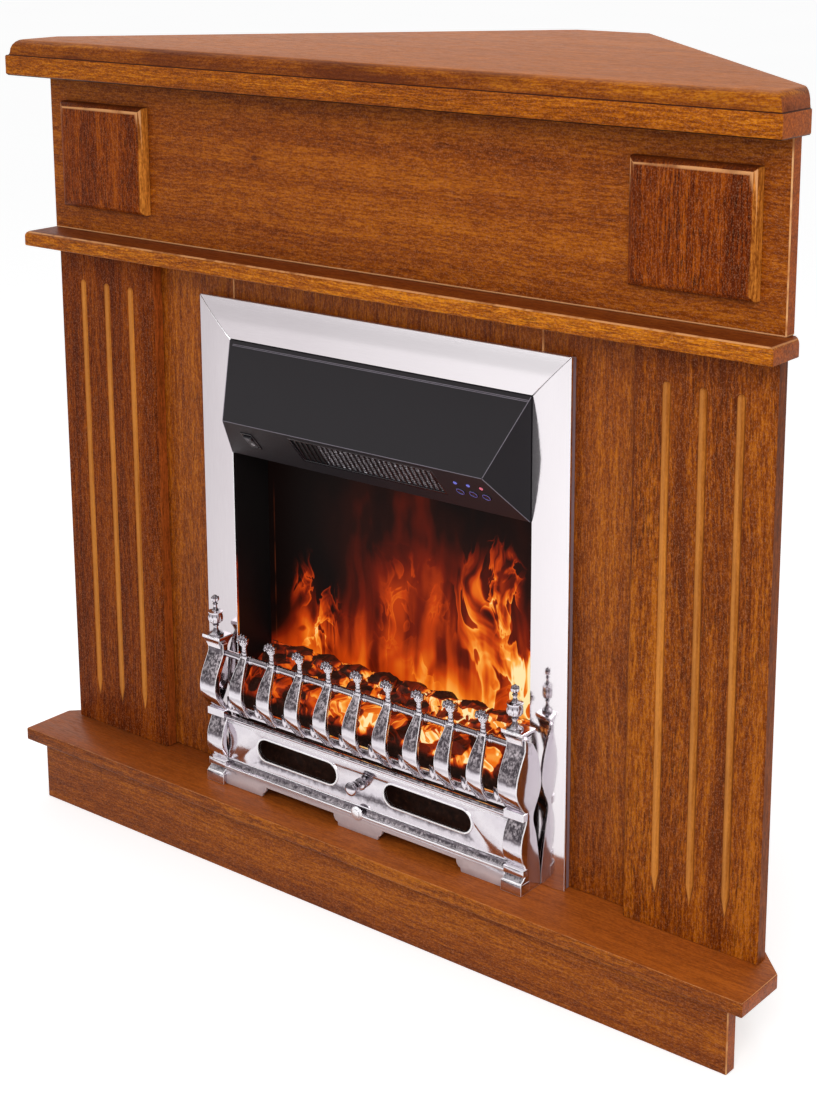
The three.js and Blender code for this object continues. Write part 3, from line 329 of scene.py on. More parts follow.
class Socket:
    """One output of a shader node, on which sums are written plainly."""

    def __init__(self, finish, output):
        self.finish, self.output = finish, output

    def maths(self, operation, *values):
        return self.finish.node("ShaderNodeMath", {"operation": operation}, dict(enumerate(values)))

    def __add__(self, other):
        return self.maths("ADD", self, other)

    def __sub__(self, other):
        return self.maths("SUBTRACT", self, other)

    def __rsub__(self, other):
        return self.maths("SUBTRACT", other, self)

    def __mul__(self, other):
        return self.maths("MULTIPLY", self, other)

    def __truediv__(self, other):
        return self.maths("DIVIDE", self, other)

    def __mod__(self, other):
        return self.maths("MODULO", self, other)

    def __abs__(self):
        return self.maths("ABSOLUTE", self)

    __radd__ = __add__
    __rmul__ = __mul__

    def least(self, value):
        return self.maths("MAXIMUM", self, value)

    def most(self, value):
        return self.maths("MINIMUM", self, value)

    def whole(self):
        return self.maths("FLOOR", self)

    def root(self):
        return self.maths("SQRT", self)

    def rise(self, low, high):
        """0 below low and 1 above high, eased between them. A low above high makes it fall."""
        return self.finish.node("ShaderNodeMapRange", {"interpolation_type": "SMOOTHSTEP"},
                                {"Value": self, "From Min": low, "From Max": high})


class Finish:
    """A material and the nodes that it is built of."""

    def __init__(self, name):
        self.material = bpy.data.materials.new(name)
        self.material.use_nodes = True
        self.tree = self.material.node_tree
        self.tree.nodes.clear()
        outputs = self.tree.nodes.new("ShaderNodeTexCoord").outputs
        self.place = self.parts(Socket(self, outputs["Object"]))
        self.facing = self.parts(Socket(self, outputs["Normal"]))

    def node(self, kind, values=None, sockets=None, output=0):
        """Adds a node, sets its values first and then its sockets, and returns one of its outputs."""
        node = self.tree.nodes.new(kind)
        for name, value in (values or {}).items():
            if name == "stops":
                stops = node.color_ramp.elements
                stops.remove(stops[-1])
                for position, colour in value:
                    stops.new(position).color = (*colour, 1)
                stops.remove(stops[0])
            else:
                setattr(node, name, value)
        for name, value in (sockets or {}).items():
            if isinstance(value, Socket):
                self.tree.links.new(value.output, node.inputs[name])
            else:
                socket = node.inputs[name]
                wide = socket.type == "RGBA" and len(value) == 3
                socket.default_value = (*value, 1) if wide else value
        return Socket(self, node.outputs[output]) if node.outputs else None

    def parts(self, vector):
        split = self.node("ShaderNodeSeparateXYZ", None, {0: vector}).output.node
        return [Socket(self, output) for output in split.outputs]

    def noise(self, x, y, z, detail=2.0, roughness=0.5, distortion=0.0):
        vector = self.node("ShaderNodeCombineXYZ", None, {0: x, 1: y, 2: z})
        return self.node("ShaderNodeTexNoise", None, {"Vector": vector, "Scale": 1.0, "Detail": detail,
                                                      "Roughness": roughness, "Distortion": distortion})

    def cloud(self, scale, detail=2.0, roughness=0.5):
        """Noise of the same scale in all directions."""
        return self.noise(*(value * scale for value in self.place), detail, roughness)

    def mix(self, share, first, second):
        return self.node("ShaderNodeMix", {"data_type": "RGBA"}, {0: share, 6: first, 7: second}, 2)

    def ramp(self, share, *stops):
        return self.node("ShaderNodeValToRGB", {"stops": stops}, {0: share})

    def bump(self, height, distance, strength=1.0):
        return self.node("ShaderNodeBump", None, {"Height": height, "Distance": distance, "Strength": strength})

    def shade(self, **sockets):
        """Ends the finish with its shader. Sockets are named with underscores for spaces."""
        values = {name.replace("_", " "): value for name, value in sockets.items()}
        shader = self.node("ShaderNodeBsdfPrincipled", None, values)
        self.node("ShaderNodeOutputMaterial", None, {"Surface": shader})
        return self.material


def spot(u, v, centre, reach=(1, 1)):
    """Squared distance from a centre, in shares of the reach each way."""
    across, along = (u - centre[0]) / reach[0], (v - centre[1]) / reach[1]
    return across * across + along * along


def veneer(name, grain, tones, edge, seed, bands, pores, groove=None, knot=None, leftward_shade=0.0, gleam=0.13, top=None,
           lines=(), ridge=None, lit_by_facing=False, crown=None):
    """Stained veneer under satin lacquer, in dark, middle and pale tones, with its ends in the edge tone. The grain
    runs along X or Z; groove is (front, depth, middle, reach) of paler flutes, with painted light on their walls that
    face right and painted shade on those that face left; knot is (along, across), fade is painted shade that darkens
    the piece towards its left end, top is the colour painted on its top face for the sheen and shade that fall
    there, lines are (height, half width, colour) of painted shadow and highlight lines, ridge is the lean of the face
    that carries a painted highlight line, crown is the height above which the upright face darkens, and a carved
    piece takes painted golden light on what faces right and painted shade on what faces up."""
    finish = Finish(name)
    x, y, z = finish.place
    nx, _, nz = finish.facing
    along, across = (x, z) if grain == "x" else (z, x)
    if knot:
        near = spot(along, across, knot, (1.6, 1)).root()
        pull = near.rise(0.016, 0.002)
        across = across + pull * (across - knot[1]) * 0.8
    across = across + (finish.noise(along * 1.7 + seed, across * 6, y * 6) - 0.5) * 0.035

    def figure(length, width, *texture):
        return finish.noise(along * length + seed, across * width, y * width, *texture)

    broad, streak, fine = figure(1.3, 26, 3, 0.55), figure(6, 150, 3, 0.6), figure(42, 380, 2, 0.6)
    pore = figure(64, 620, 1).rise(0.54, 0.64)
    patch = figure(7, 34).rise(0.36, 0.62)
    fleck = finish.noise(along * 620, across * 860 + seed, y * 860, 1, 0.6).rise(0.5, 0.7)
    calm = 0.48 + (broad - 0.5) * 3.2 * bands + (streak.rise(0.3, 0.7) - 0.5) * 0.7 * bands
    grit = (fine.rise(0.36, 0.64) - 0.5) * (0.26 + 0.4 * pores) + (figure(240, 560, 1).rise(0.38, 0.62) - 0.5) * 0.34
    share = calm + grit + (figure(10, 5) - 0.5) * 0.3
    # Painted shade: the piece grows darker towards its left end.
    if leftward_shade:
        share = share + x * leftward_shade
    if knot:
        share = share - near.rise(0.0036, 0.0008) * 1.3 - pull * 0.15
    colour = finish.ramp(share, *zip((0.0, 0.5, 1.0), tones))
    colour = finish.mix(pore * (patch * 0.7 + 0.3) * pores, colour, scaled(tones[0], 0.3))
    colour = finish.mix(fleck * 0.22, colour, tone(202, 142, 104))
    sides = abs(nx).rise(0.75, 0.95)
    if groove:
        face, depth, middle, reach = groove
        deep = ((y - face) / depth).rise(0.06, 0.4) * abs(abs(x) - middle).rise(reach, reach - 1 * MM)
        sides = sides * (1 - deep)
    colour = finish.mix(sides * 0.85, colour, finish.mix(share, scaled(edge, 0.5), scaled(edge, 1.25)))
    if groove:
        lit = finish.mix(calm + grit * 0.45, tone(152, 84, 22), tone(226, 146, 60))
        # Painted light on the flute walls that face right and painted shade on those that face left.
        lit = finish.mix(nx.rise(0.25, 0.7) * 0.45, lit, tone(236, 160, 84))
        lit = finish.mix(nx.rise(-0.15, -0.6) * 0.85, lit, tone(84, 36, 10))
        colour = finish.mix(deep * 0.92, colour, lit)
    # Painted sheen and shade: the top face takes its own colour for the light that falls on it.
    if top:
        upper = finish.mix(calm * 0.5 + grit + 0.25, scaled(top, 0.72), scaled(top, 1.2))
        colour = finish.mix(nz.rise(0.75, 0.97) * 0.8, colour, upper)
    if crown:
        over = z.rise(crown - 0.6 * MM, crown + 0.6 * MM) * nz.rise(0.97, 0.9)
        colour = finish.mix(over * (0.3 + patch * 0.45), colour, tone(84, 34, 14))
    # Painted light and shade: golden light on what faces right, shade on what faces up.
    if lit_by_facing:
        golden = finish.mix(share, tone(136, 70, 16), tone(226, 140, 52))
        colour = finish.mix(nx.rise(0.18, 0.5) * 0.85, colour, golden)
        colour = finish.mix(nz.rise(0.3, 0.6) * 0.6, colour, tone(82, 34, 14))
    # Painted highlight: a pale line along the eased edge, broken by noise.
    if ridge:
        edge_highlight = finish.noise(along * 60, across * 20, seed).rise(0.36, 0.56)
        line = (1 - abs(nz - ridge) / 0.11).least(0.0).rise(0.0, 0.5)
        colour = finish.mix(line * edge_highlight * 0.6 + line * 0.32, colour, tone(226, 160, 104))
    # Painted shadow and highlight lines at given heights.
    for height, half, painted_light_tone in lines:
        colour = finish.mix(abs(z - height).rise(half, half * 0.5), colour, painted_light_tone)
    relief = finish.bump((fine - pore * 1.3 + streak) * 0.5, 0.25 * MM, 0.5)
    return finish.shade(Base_Color=colour, Roughness=0.42 + (streak - 0.5) * 0.12 + pore * 0.12, Normal=relief,
                        Specular_IOR_Level=gleam)


def arris():
    """The paler line painted along the veneer's edges as a highlight."""
    finish = Finish("highlighted_veneer_edge")
    colour = finish.mix(finish.cloud(60, 3).rise(0.3, 0.7), tone(186, 112, 54), tone(238, 180, 120))
    return finish.shade(Base_Color=colour, Roughness=0.5, Specular_IOR_Level=0.3)


def chipboard():
    finish = Finish("raw_chipboard")
    flake = finish.cloud(260, 3, 0.7)
    colour = finish.ramp(flake * 0.6 + finish.cloud(90, 2, 0.6) * 0.4, (0.3, tone(122, 80, 48)),
                         (0.5, tone(184, 138, 96)), (0.7, tone(216, 178, 138)))
    return finish.shade(Base_Color=colour, Roughness=0.85, Normal=finish.bump(flake, 0.6 * MM, 0.6),
                        Specular_IOR_Level=0.2)


def chrome(name="cast_chrome", rough=1.0, pale_foot=False):
    """Bright plate with painted reflections: pale faces, patches of grey reflection on what looks up, and bands of grey
    reflection where it curves over.
    """
    finish = Finish(name)
    x, y, z = finish.place
    nx, _, nz = finish.facing
    cloud = finish.cloud(130, 3, 0.65)
    fleck = finish.noise(x * 420, y * 420, z * 240, 2, 0.7)
    bend = nz + (cloud - 0.5) * 0.16 * rough
    # Painted reflections: bands of pale and grey by how the face leans.
    band = finish.ramp(bend * 0.5 + 0.5, (0.0, tone(84, 76, 84)), (0.12, tone(128, 120, 128)),
                       (0.20, tone(186, 178, 186)), (0.30, tone(238, 233, 238)), (0.40, tone(196, 189, 196)),
                       (0.47, tone(226, 221, 226)), (0.545, tone(206, 199, 206)), (0.585, tone(96, 88, 94)),
                       (0.72, tone(66, 60, 64)), (0.86, tone(128, 121, 126)), (0.97, tone(232, 228, 232)))
    grey = (fleck - 0.5) * 1.7 + (cloud - 0.5) * 1.4
    # Painted reflection: grey patches on what looks up.
    reflected_mottle = bend.rise(0.14, 0.26) * bend.rise(0.93, 0.75) * rough
    colour = finish.mix(reflected_mottle * grey.rise(-0.25, 0.45) * 0.8, band, tone(168, 158, 162))
    colour = finish.mix(reflected_mottle * grey.rise(0.15, -0.3) * 0.6, colour, tone(48, 42, 46))
    # Painted reflection: faces that look sideways turn an even grey.
    colour = finish.mix(abs(nx).rise(0.55, 0.95) * 0.5, colour, tone(190, 182, 190))
    metal = 1 - z.rise(0.12, 0.105) * 0.7 if pale_foot else 1.0
    return finish.shade(Base_Color=colour, Metallic=metal, Roughness=reflected_mottle * 0.2 + (0.12 if rough == 1.0 else 0.2),
                        Normal=finish.bump(cloud, 0.3 * MM, 0.25 * rough))


def edge_highlight_finish():
    # A paler edge painted on the metal pieces as a highlight.
    finish = Finish("chrome_edge_highlight")
    colour = finish.mix(finish.cloud(300), tone(235, 232, 236), tone(255, 253, 255))
    return finish.shade(Base_Color=colour, Metallic=0.6, Roughness=0.25)


def satin(node):
    """Brushed steel of the trim, nearly white, brushed along the piece."""
    finish = Finish("satin_" + node)
    x, y, z = finish.place
    u, v = (60, 1500) if node == "trim_top" else (1500, 60)
    brush = finish.noise(x * u, y * 60, z * v)
    # Painted light and shade: the trim is darker at its left and paler at its right.
    share = x.rise(-0.3, 0.3)
    shaded_tone, face, pale = tone(186, 177, 181), tone(222, 216, 219), tone(236, 231, 234)
    colour = finish.mix(brush * 0.3 + finish.noise(x * 9, y * 9, z * 5) * 0.3, finish.mix(share, shaded_tone, face),
                        finish.mix(share, face, pale))
    return finish.shade(Base_Color=colour, Metallic=1.0, Roughness=0.07 + brush * 0.05,
                        Normal=finish.bump(brush, 0.05 * MM, 0.3))


def paintwork(name, face, deep, roughness, metallic=0.0, specular=0.4, grain=700.0):
    """Painted, moulded or plain metal skin with a fine even grain."""
    finish = Finish(name)
    speck = finish.cloud(grain, 2, 0.6)
    colour = finish.mix(finish.cloud(14, 3) * 0.6 + speck * 0.4, deep, face)
    return finish.shade(Base_Color=colour, Roughness=(speck - 0.5) * 0.2 + roughness, Metallic=metallic,
                        Normal=finish.bump(speck, 0.1 * MM, 0.3), Specular_IOR_Level=specular)


def circuit():
    finish = Finish("circuit_board")
    track = finish.noise(*((value * 220).whole() for value in finish.place), 0).rise(0.52, 0.56)
    colour = finish.mix(track * 0.6, tone(24, 82, 48), tone(150, 120, 52))
    return finish.shade(Base_Color=colour, Roughness=0.4 + track * 0.1)


def lenses():
    """Two blue lamps and a pink one on a white strip, from left to right."""
    finish = Finish("indicator_lens")
    low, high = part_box("indicator_strip")
    share = (finish.place[0] - low.x) / (high.x - low.x)
    lit = finish.mix(share.rise(0.62, 0.66), tone(84, 96, 210), tone(226, 92, 120))
    return finish.shade(Base_Color=finish.mix(finish.cloud(900, 1) * 0.3, lit, tone(240, 240, 250)), Roughness=0.25,
                        Emission_Color=lit, Emission_Strength=0.35)


# Place, spread, height in shares of the whole and heat of each body of flame.
FLAME_BODIES = ((0.0, 0.115, 1.15, 0.40), (0.13, 0.12, 1.0, 0.46), (-0.155, 0.045, 0.6, 0.2),
                (-0.08, 0.06, 0.75, 0.24))
# Where curls of brighter fire show: centre, reach, fall and strength.
FLAME_CURLS = (((0.15, 0.5), (0.085, 0.6), (1.3, 0.4), 1.15), ((-0.14, 0.3), (0.04, 0.36), (1.4, 0.2), 0.9),
               ((0.01, 0.35), (0.05, 0.5), (1.4, 0.2), 0.4))
# Scale across and along, seed, thickness and gain of the coarse and the fine curls.
FLAME_VEILS = ((20, 11, 7.3, 0.03, 0.52), (38, 22, 11.2, 0.04, 0.34))


def tongues(finish, x, z, foot, height):
    """How hot the drawn flames are at a place: deep orange bodies streaked upward, with curls of brighter fire."""
    up = ((z - foot) / height).least(0.0)
    slow, quick = finish.noise(x * 9, z * 7, 3.1), finish.noise(x * 28, z * 20, 7.7)
    wide = x + ((slow - 0.5) * up * 0.10 + (quick - 0.5) * up * 0.03)
    body = 0.0
    for place, spread, tall, strength in FLAME_BODIES:
        body = (1 - abs(wide - place) / spread).rise(0.0, 0.9) * (up / tall).rise(1.0, 0.15) * strength + body
    streak = finish.noise(wide * 30, z * 3.4, 2.0, 3, 0.5, 0.15)
    lick = finish.noise(wide * 17, z * 7, 14.0, 2, 0.5, 0.5)
    heat = body * (streak.rise(0.34, 0.6) * 0.66 + lick.rise(0.38, 0.66) * 0.5 + 0.14)
    where = body * 0.3
    for centre, reach, fall, strength in FLAME_CURLS:
        where = where + spot(x, up, centre, reach).rise(*fall) * strength
    for across, rise, seed, thread, gain in FLAME_VEILS:
        veil = finish.noise(wide * across, z * rise, seed, 3, 0.5, 0.9)
        line = (1 - abs(veil - 0.5) / thread).least(0.0)
        tail = veil.rise(0.485, 0.515) * veil.rise(0.66, 0.51)
        lit = finish.noise(wide * across * 0.4, z * rise * 0.4, seed + 20, 1).rise(0.40, 0.62)
        heat = (line * line * 0.5 + tail * 0.85) * lit * gain * where + heat
    bed = (z - foot).rise(0.07, -0.03) * finish.noise(wide * 16, z * 12, 40.0, 2, 0.5, 0.6).rise(0.3, 0.68)
    return heat + bed * 0.4


def flame_ramp(finish, heat):
    return finish.ramp(heat, (0.0, tone(9, 3, 2)), (0.1, tone(34, 7, 2)), (0.26, tone(112, 24, 3)),
                       (0.46, tone(196, 62, 6)), (0.66, tone(240, 116, 22)), (0.86, tone(255, 178, 74)),
                       (1.0, tone(255, 232, 170)))


def flame_picture():
    """The flames that show on the back screen, with a dim red glow over them and, at its left, a painted reflection of
    the flames on the case's side wall.
    """
    finish = Finish("smoked_screen")
    x, _, z = finish.place
    choices = settings()
    smoke = finish.noise(x * 18, z * 7, 60.0, 3)
    glow = spot(x, z, (0.04, 0.42), (0.17, 0.12)).rise(1.3, 0.0) * smoke.rise(0.25, 0.75)
    heat = tongues(finish, x, z, choices.flame_foot, choices.flame_height) + glow * 0.2
    # Painted reflection: the flames seen in the case's side wall, drawn as a line on the screen at its left.
    rim = abs(x + 0.2035).rise(1.2 * MM, 0.4 * MM) * (1 - z.rise(0.40, 0.46))
    rim = rim * finish.noise(0.0, z * 30, 5.0).rise(0.3, 0.7)
    colour = finish.mix(rim * 0.3, flame_ramp(finish, heat), tone(120, 52, 24))
    return finish.shade(Base_Color=tone(6, 4, 4), Roughness=0.5, Specular_IOR_Level=0.05,
                        Emission_Color=colour, Emission_Strength=choices.flame_strength)


def coal():
    """Moulded coals: charred crowns, with the light of the flames in swirls on their flanks."""
    finish = Finish("ember_resin")
    x, y, z = finish.place
    ash = finish.cloud(150, 3, 0.6)
    rise = z + y * 0.6
    sway = x + (finish.noise(x * 22, rise * 18, 5.0) - 0.5) * 0.03
    swirl = finish.noise(sway * 36, rise * 15, 3.0, 3, 0.5, 1.0)
    veil = finish.noise(sway * 60, rise * 26, 9.0, 2, 0.5, 1.2)
    tail = veil.rise(0.485, 0.52) * veil.rise(0.7, 0.52)
    char = finish.cloud(44, 1).rise(0.50, 0.57)
    crown = finish.facing[2].rise(0.55, 0.9) * z.rise(0.215, 0.24)
    gain = x.rise(-0.22, 0.06) * 0.55 + 0.45
    glow = (swirl.rise(0.36, 0.58) * 0.42 + tail * 0.4 + 0.34) * gain * (1 - char * 0.72) * (1 - crown * 0.75)
    glow = glow * z.rise(0.190, 0.202) * (1 - z.rise(0.25, 0.262) * 0.25)
    colour = finish.ramp(ash, (0.3, tone(16, 9, 7)), (0.6, tone(44, 24, 16)), (0.8, tone(84, 52, 38)))
    return finish.shade(Base_Color=colour, Roughness=0.7, Normal=finish.bump(ash, 1 * MM, 0.6),
                        Specular_IOR_Level=0.15, Emission_Color=flame_ramp(finish, glow),
                        Emission_Strength=settings().flame_strength)


def perforated():
    """Fine black mesh behind the slats, in rows of holes set half a cell apart, plain at the left end."""
    finish = Finish("outlet_mesh")
    x, _, z = finish.place
    cell = 3.2 * MM
    rise = z / cell
    row = rise.whole()
    over = x / cell + row % 2.0 * 0.5
    hole = spot(over - over.whole(), rise - row, (0.5, 0.5)).root().rise(0.42, 0.34)
    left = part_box("outlet_grille")[0].x
    mesh = (1 - hole) * x.rise(left + 36 * MM, left + 40 * MM)
    # Painted light: the mesh glows faintly and its glints glow white, so that it shows in the shade behind the slats.
    glint = finish.cloud(520, 1).rise(0.60, 0.68) * mesh
    colour = finish.mix(mesh * 0.8, tone(8, 7, 8), tone(150, 144, 150))
    sparkle = finish.mix(glint, finish.mix(mesh, tone(2, 2, 2), tone(30, 29, 31)), tone(190, 186, 192))
    return finish.shade(Base_Color=colour, Roughness=0.45, Metallic=0.4, Emission_Color=sparkle, Emission_Strength=1.0)


def printed_key():
    """The rocker's black plastic with a bar and a ring printed on it."""
    finish = Finish("rocker_plastic")
    x, y, z = finish.place
    slope, middle = slope_frame().inverted(), middle_of("rocker_switch")
    down = y * slope[1][1] + z * slope[1][2] + (slope[1][3] - (slope @ middle).y)
    bar = abs(x - middle.x).rise(0.6 * MM, 0.4 * MM) * abs(down - 5.5 * MM).rise(2.2 * MM, 2.0 * MM)
    ring = abs(spot(x, down, (middle.x, -5.5 * MM)).root() - 1.7 * MM).rise(0.6 * MM, 0.4 * MM)
    plain = finish.mix(finish.cloud(700), tone(20, 18, 22), tone(32, 29, 34))
    return finish.shade(Base_Color=finish.mix(bar + ring, plain, tone(214, 210, 214)), Roughness=0.3,
                        Specular_IOR_Level=0.4)


def flooring():
    """White floor: plain to the camera and in reflections, but it keeps the soft shadow."""
    finish = Finish("studio_floor")
    rays = finish.node("ShaderNodeLightPath").output.node.outputs
    seen = sum(Socket(finish, rays[name]) for name in ("Is Camera Ray", "Is Glossy Ray", "Is Transmission Ray"))
    x, y, _ = finish.place
    colour = finish.mix(finish.noise(x * 0.8, y * 0.8, 0.0, 1), (0.74, 0.74, 0.745), (0.76, 0.76, 0.76))
    matt = finish.node("ShaderNodeBsdfDiffuse", None, {"Color": colour})
    glow = finish.node("ShaderNodeEmission", None, {"Color": (1.0, 1.0, 1.0),
                                                    "Strength": seen.most(1.0) * settings().floor_lift})
    both = finish.node("ShaderNodeAddShader", None, {0: matt, 1: glow})
    finish.node("ShaderNodeOutputMaterial", None, {"Surface": both})
    return finish.material


# ---------- choices that a user may change ----------

def colour_choice(name, description, default):
    return bpy.props.FloatVectorProperty(name=name, description=description, subtype="COLOR", size=3, min=0, max=1,
                                         default=default)


class FireplaceSettings(bpy.types.PropertyGroup):
    arris_width: bpy.props.FloatProperty(
        name="Arris", description="Width of the eased edges of the boards", default=0.0012,
        min=0.0002, max=0.003, unit="LENGTH", precision=4)
    board_dark: colour_choice("Dark Grain", "Darkest streaks of the plain boards", tone(98, 39, 2))
    board_middle: colour_choice("Board", "Main colour of the plain boards", tone(138, 65, 4))
    board_pale: colour_choice("Pale Grain", "Palest streaks of the plain boards", tone(180, 99, 15))
    flame_foot: bpy.props.FloatProperty(
        name="Flame Foot", description="Height above the floor at which the flames start", default=0.255,
        unit="LENGTH")
    flame_height: bpy.props.FloatProperty(
        name="Flame Height", description="Height of the tallest flames above their foot", default=0.178,
        unit="LENGTH")
    flame_strength: bpy.props.FloatProperty(
        name="Flame Strength", description="Brightness of the flames and embers", default=1.0, min=0, max=5)
    key_power: bpy.props.FloatProperty(
        name="Key Lamp", description="Power of the main lamp, to the right in front", default=26.0, min=0,
        unit="POWER")
    fill_strength: bpy.props.FloatProperty(
        name="Fill", description="Strength of the even light from all round", default=0.55, min=0, max=2)
    floor_lift: bpy.props.FloatProperty(
        name="Floor Lift", description="How much whiter the floor looks than it is lit", default=0.56, min=0, max=1)


# ---------- stage ----------

class FIREPLACE_OT_stage(bpy.types.Operator):
    """Sets up the camera, the white floor and the studio light"""
    bl_idname = "fireplace.stage"
    bl_label = "Stage"

    def execute(self, context):
        scene = context.scene
        bpy.ops.object.camera_add(location=(1.3657, -1.8141, 1.1427),
                                  rotation=[math.radians(a) for a in (76.969, 0.315, 39.207)])
        camera = bpy.context.object
        camera.name = "photo_camera"
        camera.data.lens, camera.data.sensor_width = 65.2, 36
        camera.data.shift_x, camera.data.shift_y = 0.007, -0.19
        camera.data.clip_end = 200
        scene.camera = camera
        scene.view_settings.view_transform = "Standard"

        bpy.ops.mesh.primitive_plane_add(size=60)
        floor = named("floor")
        floor.data.materials.append(flooring())

        world = bpy.data.worlds.new("studio")
        scene.world = world
        world.use_nodes = True
        nodes, links = world.node_tree.nodes, world.node_tree.links
        path = nodes.new("ShaderNodeLightPath")
        seen = path.outputs["Is Camera Ray"]
        for name in ("Is Glossy Ray", "Is Transmission Ray"):
            either = nodes.new("ShaderNodeMath")
            either.operation = "MAXIMUM"
            links.new(seen, either.inputs[0])
            links.new(path.outputs[name], either.inputs[1])
            seen = either.outputs[0]
        level = nodes.new("ShaderNodeMapRange")
        level.inputs["To Min"].default_value = settings().fill_strength
        links.new(seen, level.inputs["Value"])
        background = nodes["Background"]
        background.inputs["Color"].default_value = (1, 1, 1, 1)
        links.new(level.outputs[0], background.inputs["Strength"])

        for name, place, size, power in (("key", (1.35, -1.9, 1.75), 1.1, settings().key_power),
                                         ("front", (-1.5, -2.6, 1.5), 1.6, settings().key_power * 0.35),
                                         ("top", (-0.2, 0.5, 2.4), 1.0, settings().key_power * 0.36)):
            bpy.ops.object.light_add(type="AREA", location=place)
            lamp = bpy.context.object
            lamp.name = name + "_lamp"
            lamp.data.size, lamp.data.energy = size, power
            lamp.rotation_euler = (Vector((0, -0.15, 0.45)) - Vector(place)).to_track_quat("-Z", "Y").to_euler()
        return {"FINISHED"}

# ---------- surround ----------

class FIREPLACE_OT_boards(bpy.types.Operator):
    """Veneers the boards, shelves and mouldings, each with its eased edges"""
    bl_idname = "fireplace.boards"
    bl_label = "Boards"

    def execute(self, context):
        choices = settings()
        plain = [tuple(colour) for colour in (choices.board_dark, choices.board_middle, choices.board_pale)]
        rich = [scaled(colour, 0.76, 0.58, 0.48) for colour in plain]
        darker = [scaled(colour, 0.84) for colour in rich]
        golden = [scaled(colour, 1.45, 1.7, 1.4) for colour in plain]
        end, side = tone(172, 84, 32), tone(176, 104, 48)
        low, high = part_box("frieze_board")
        # A painted highlight along the frieze's foot and a painted shadow line at its top, under the mantel.
        shadow_and_highlight_lines = ((low.z + 0.9 * MM, 1.3 * MM, tone(224, 168, 116)), (high.z - 1.4 * MM, 1.8 * MM, tone(24, 9, 4)))
        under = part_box("mantel_shelf")[0].z
        step = under + 24 * MM
        # Painted shadow lines on the mantel: at the step where its round meets its flat edge, and along its underside.
        mantel_shadow_lines = ((step, 0.7 * MM, tone(62, 24, 8)), (under, 1.5 * MM, tone(26, 10, 4)))
        middle = middle_of("pilaster_right").x
        grooves = (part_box("pilaster_left")[0].y, 4.8 * MM, middle, 60 * MM)
        whorl = (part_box("pilaster_right")[1].z - 20 * MM, middle + 1 * MM)
        finishes = {
            "mantel_shelf": veneer("veneer_mantel", "x", golden, end, 1.0, 0.45, 0.4, gleam=0.06,
                                   top=tone(163, 88, 24), crown=step, lines=mantel_shadow_lines),
            "frieze_board": veneer("veneer_frieze", "x", plain, end, 2.3, 0.34, 0.2, knot=(-0.165, 0.842), gleam=0.08,
                                   lines=shadow_and_highlight_lines),
            "mid_shelf": veneer("veneer_shelf", "x", golden, end, 3.1, 0.45, 0.5, top=tone(112, 46, 18), ridge=0.86,
                                gleam=0.08),
            "hearth_board": veneer("veneer_hearth", "x", plain, end, 4.7, 0.5, 0.4, leftward_shade=0.32, top=tone(164, 82, 27),
                                   ridge=0.8),
            "plinth_front": veneer("veneer_plinth", "x", plain, end, 5.2, 0.4, 0.2, leftward_shade=0.15),
            "top_rail": veneer("veneer_top_rail", "z", plain, side, 6.1, 0.4, 0.3),
            "stile_left": veneer("veneer_stile_left", "z", plain, side, 7.4, 0.45, 0.35),
            "stile_right": veneer("veneer_stile_right", "z", plain, side, 8.2, 0.45, 0.35),
            "pilaster_left": veneer("veneer_pilaster_left", "z", darker, end, 9.3, 0.6, 0.45, grooves, gleam=0.05),
            "pilaster_right": veneer("veneer_pilaster_right", "z", plain, tone(128, 62, 22), 10.6, 0.65, 0.55,
                                     grooves, whorl, gleam=0.08),
            "rosette_left": veneer("veneer_rosette_left", "z", rich, side, 11.5, 0.5, 0.7, gleam=0.05, ridge=0.22,
                                   lit_by_facing=True),
            "rosette_right": veneer("veneer_rosette_right", "z", rich, side, 12.9, 0.6, 0.8, gleam=0.05, ridge=0.22,
                                    lit_by_facing=True),
        }
        # Painted highlight: the eased edges take the paler arris finish.
        edge_highlight = arris()
        for node, finish in finishes.items():
            dark = node.startswith(("rosette", "pilaster"))
            lined = not (dark or node.startswith(("mantel", "mid", "hearth")))
            piece = eased(node, choices.arris_width if lined else choices.arris_width / 2)
            dress(piece, finish, nodes=[node], edge=edge_highlight if lined else finish)
        sides = veneer("veneer_sides", "z", plain, tone(134, 66, 22), 13.7, 0.4, 0.3)
        paint(sides, "side_panel_left", "side_panel_right")
        paint(chipboard(), "plinth_rail_left", "plinth_rail_right", "rear_post")
        return {"FINISHED"}


# ---------- inset fire ----------

class FIREPLACE_OT_frame(bpy.types.Operator):
    """Finishes the steel trim, the spacer behind it and the black case"""
    bl_idname = "fireplace.frame"
    bl_label = "Steel Frame"

    def execute(self, context):
        edge = edge_highlight_finish()
        for node in ("trim_left", "trim_right", "trim_top"):
            dress(eased(node, 0.5 * MM), satin(node), nodes=[node], edge=edge)
        lilac = paintwork("lilac_grey_paint", tone(172, 158, 168), tone(150, 136, 146), 0.4, 0.3)
        dress(eased("spacer_frame", 0.4 * MM), lilac, nodes=["spacer_frame"], edge=edge)
        black = paintwork("black_steel", tone(22, 18, 18), tone(10, 8, 8), 0.45, specular=0.3)
        paint(black, "fire_case", "heater_fan")
        return {"FINISHED"}


# Where the hood's two faces meet, and how far forward its lower edge stands.
HOOD_RIDGE_Z = 0.5465
HOOD_FOOT_Y = -0.19425


def slope_frame():
    """The hood's lower slope: X along it, Y up it and Z out of it, at its middle by the ridge."""
    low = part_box("hood_cover")[0]
    ridge = Vector((0, low.y, HOOD_RIDGE_Z))
    up = Vector((0, low.y - HOOD_FOOT_Y, HOOD_RIDGE_Z - low.z)).normalized()
    out = Vector((1, 0, 0)).cross(up)
    return Matrix((Vector((1, 0, 0, 0)), (*up, 0), (*out, 0), (*ridge, 1))).transposed()


def on_slope(piece):
    piece.matrix_world = slope_frame()
    return settle(piece)


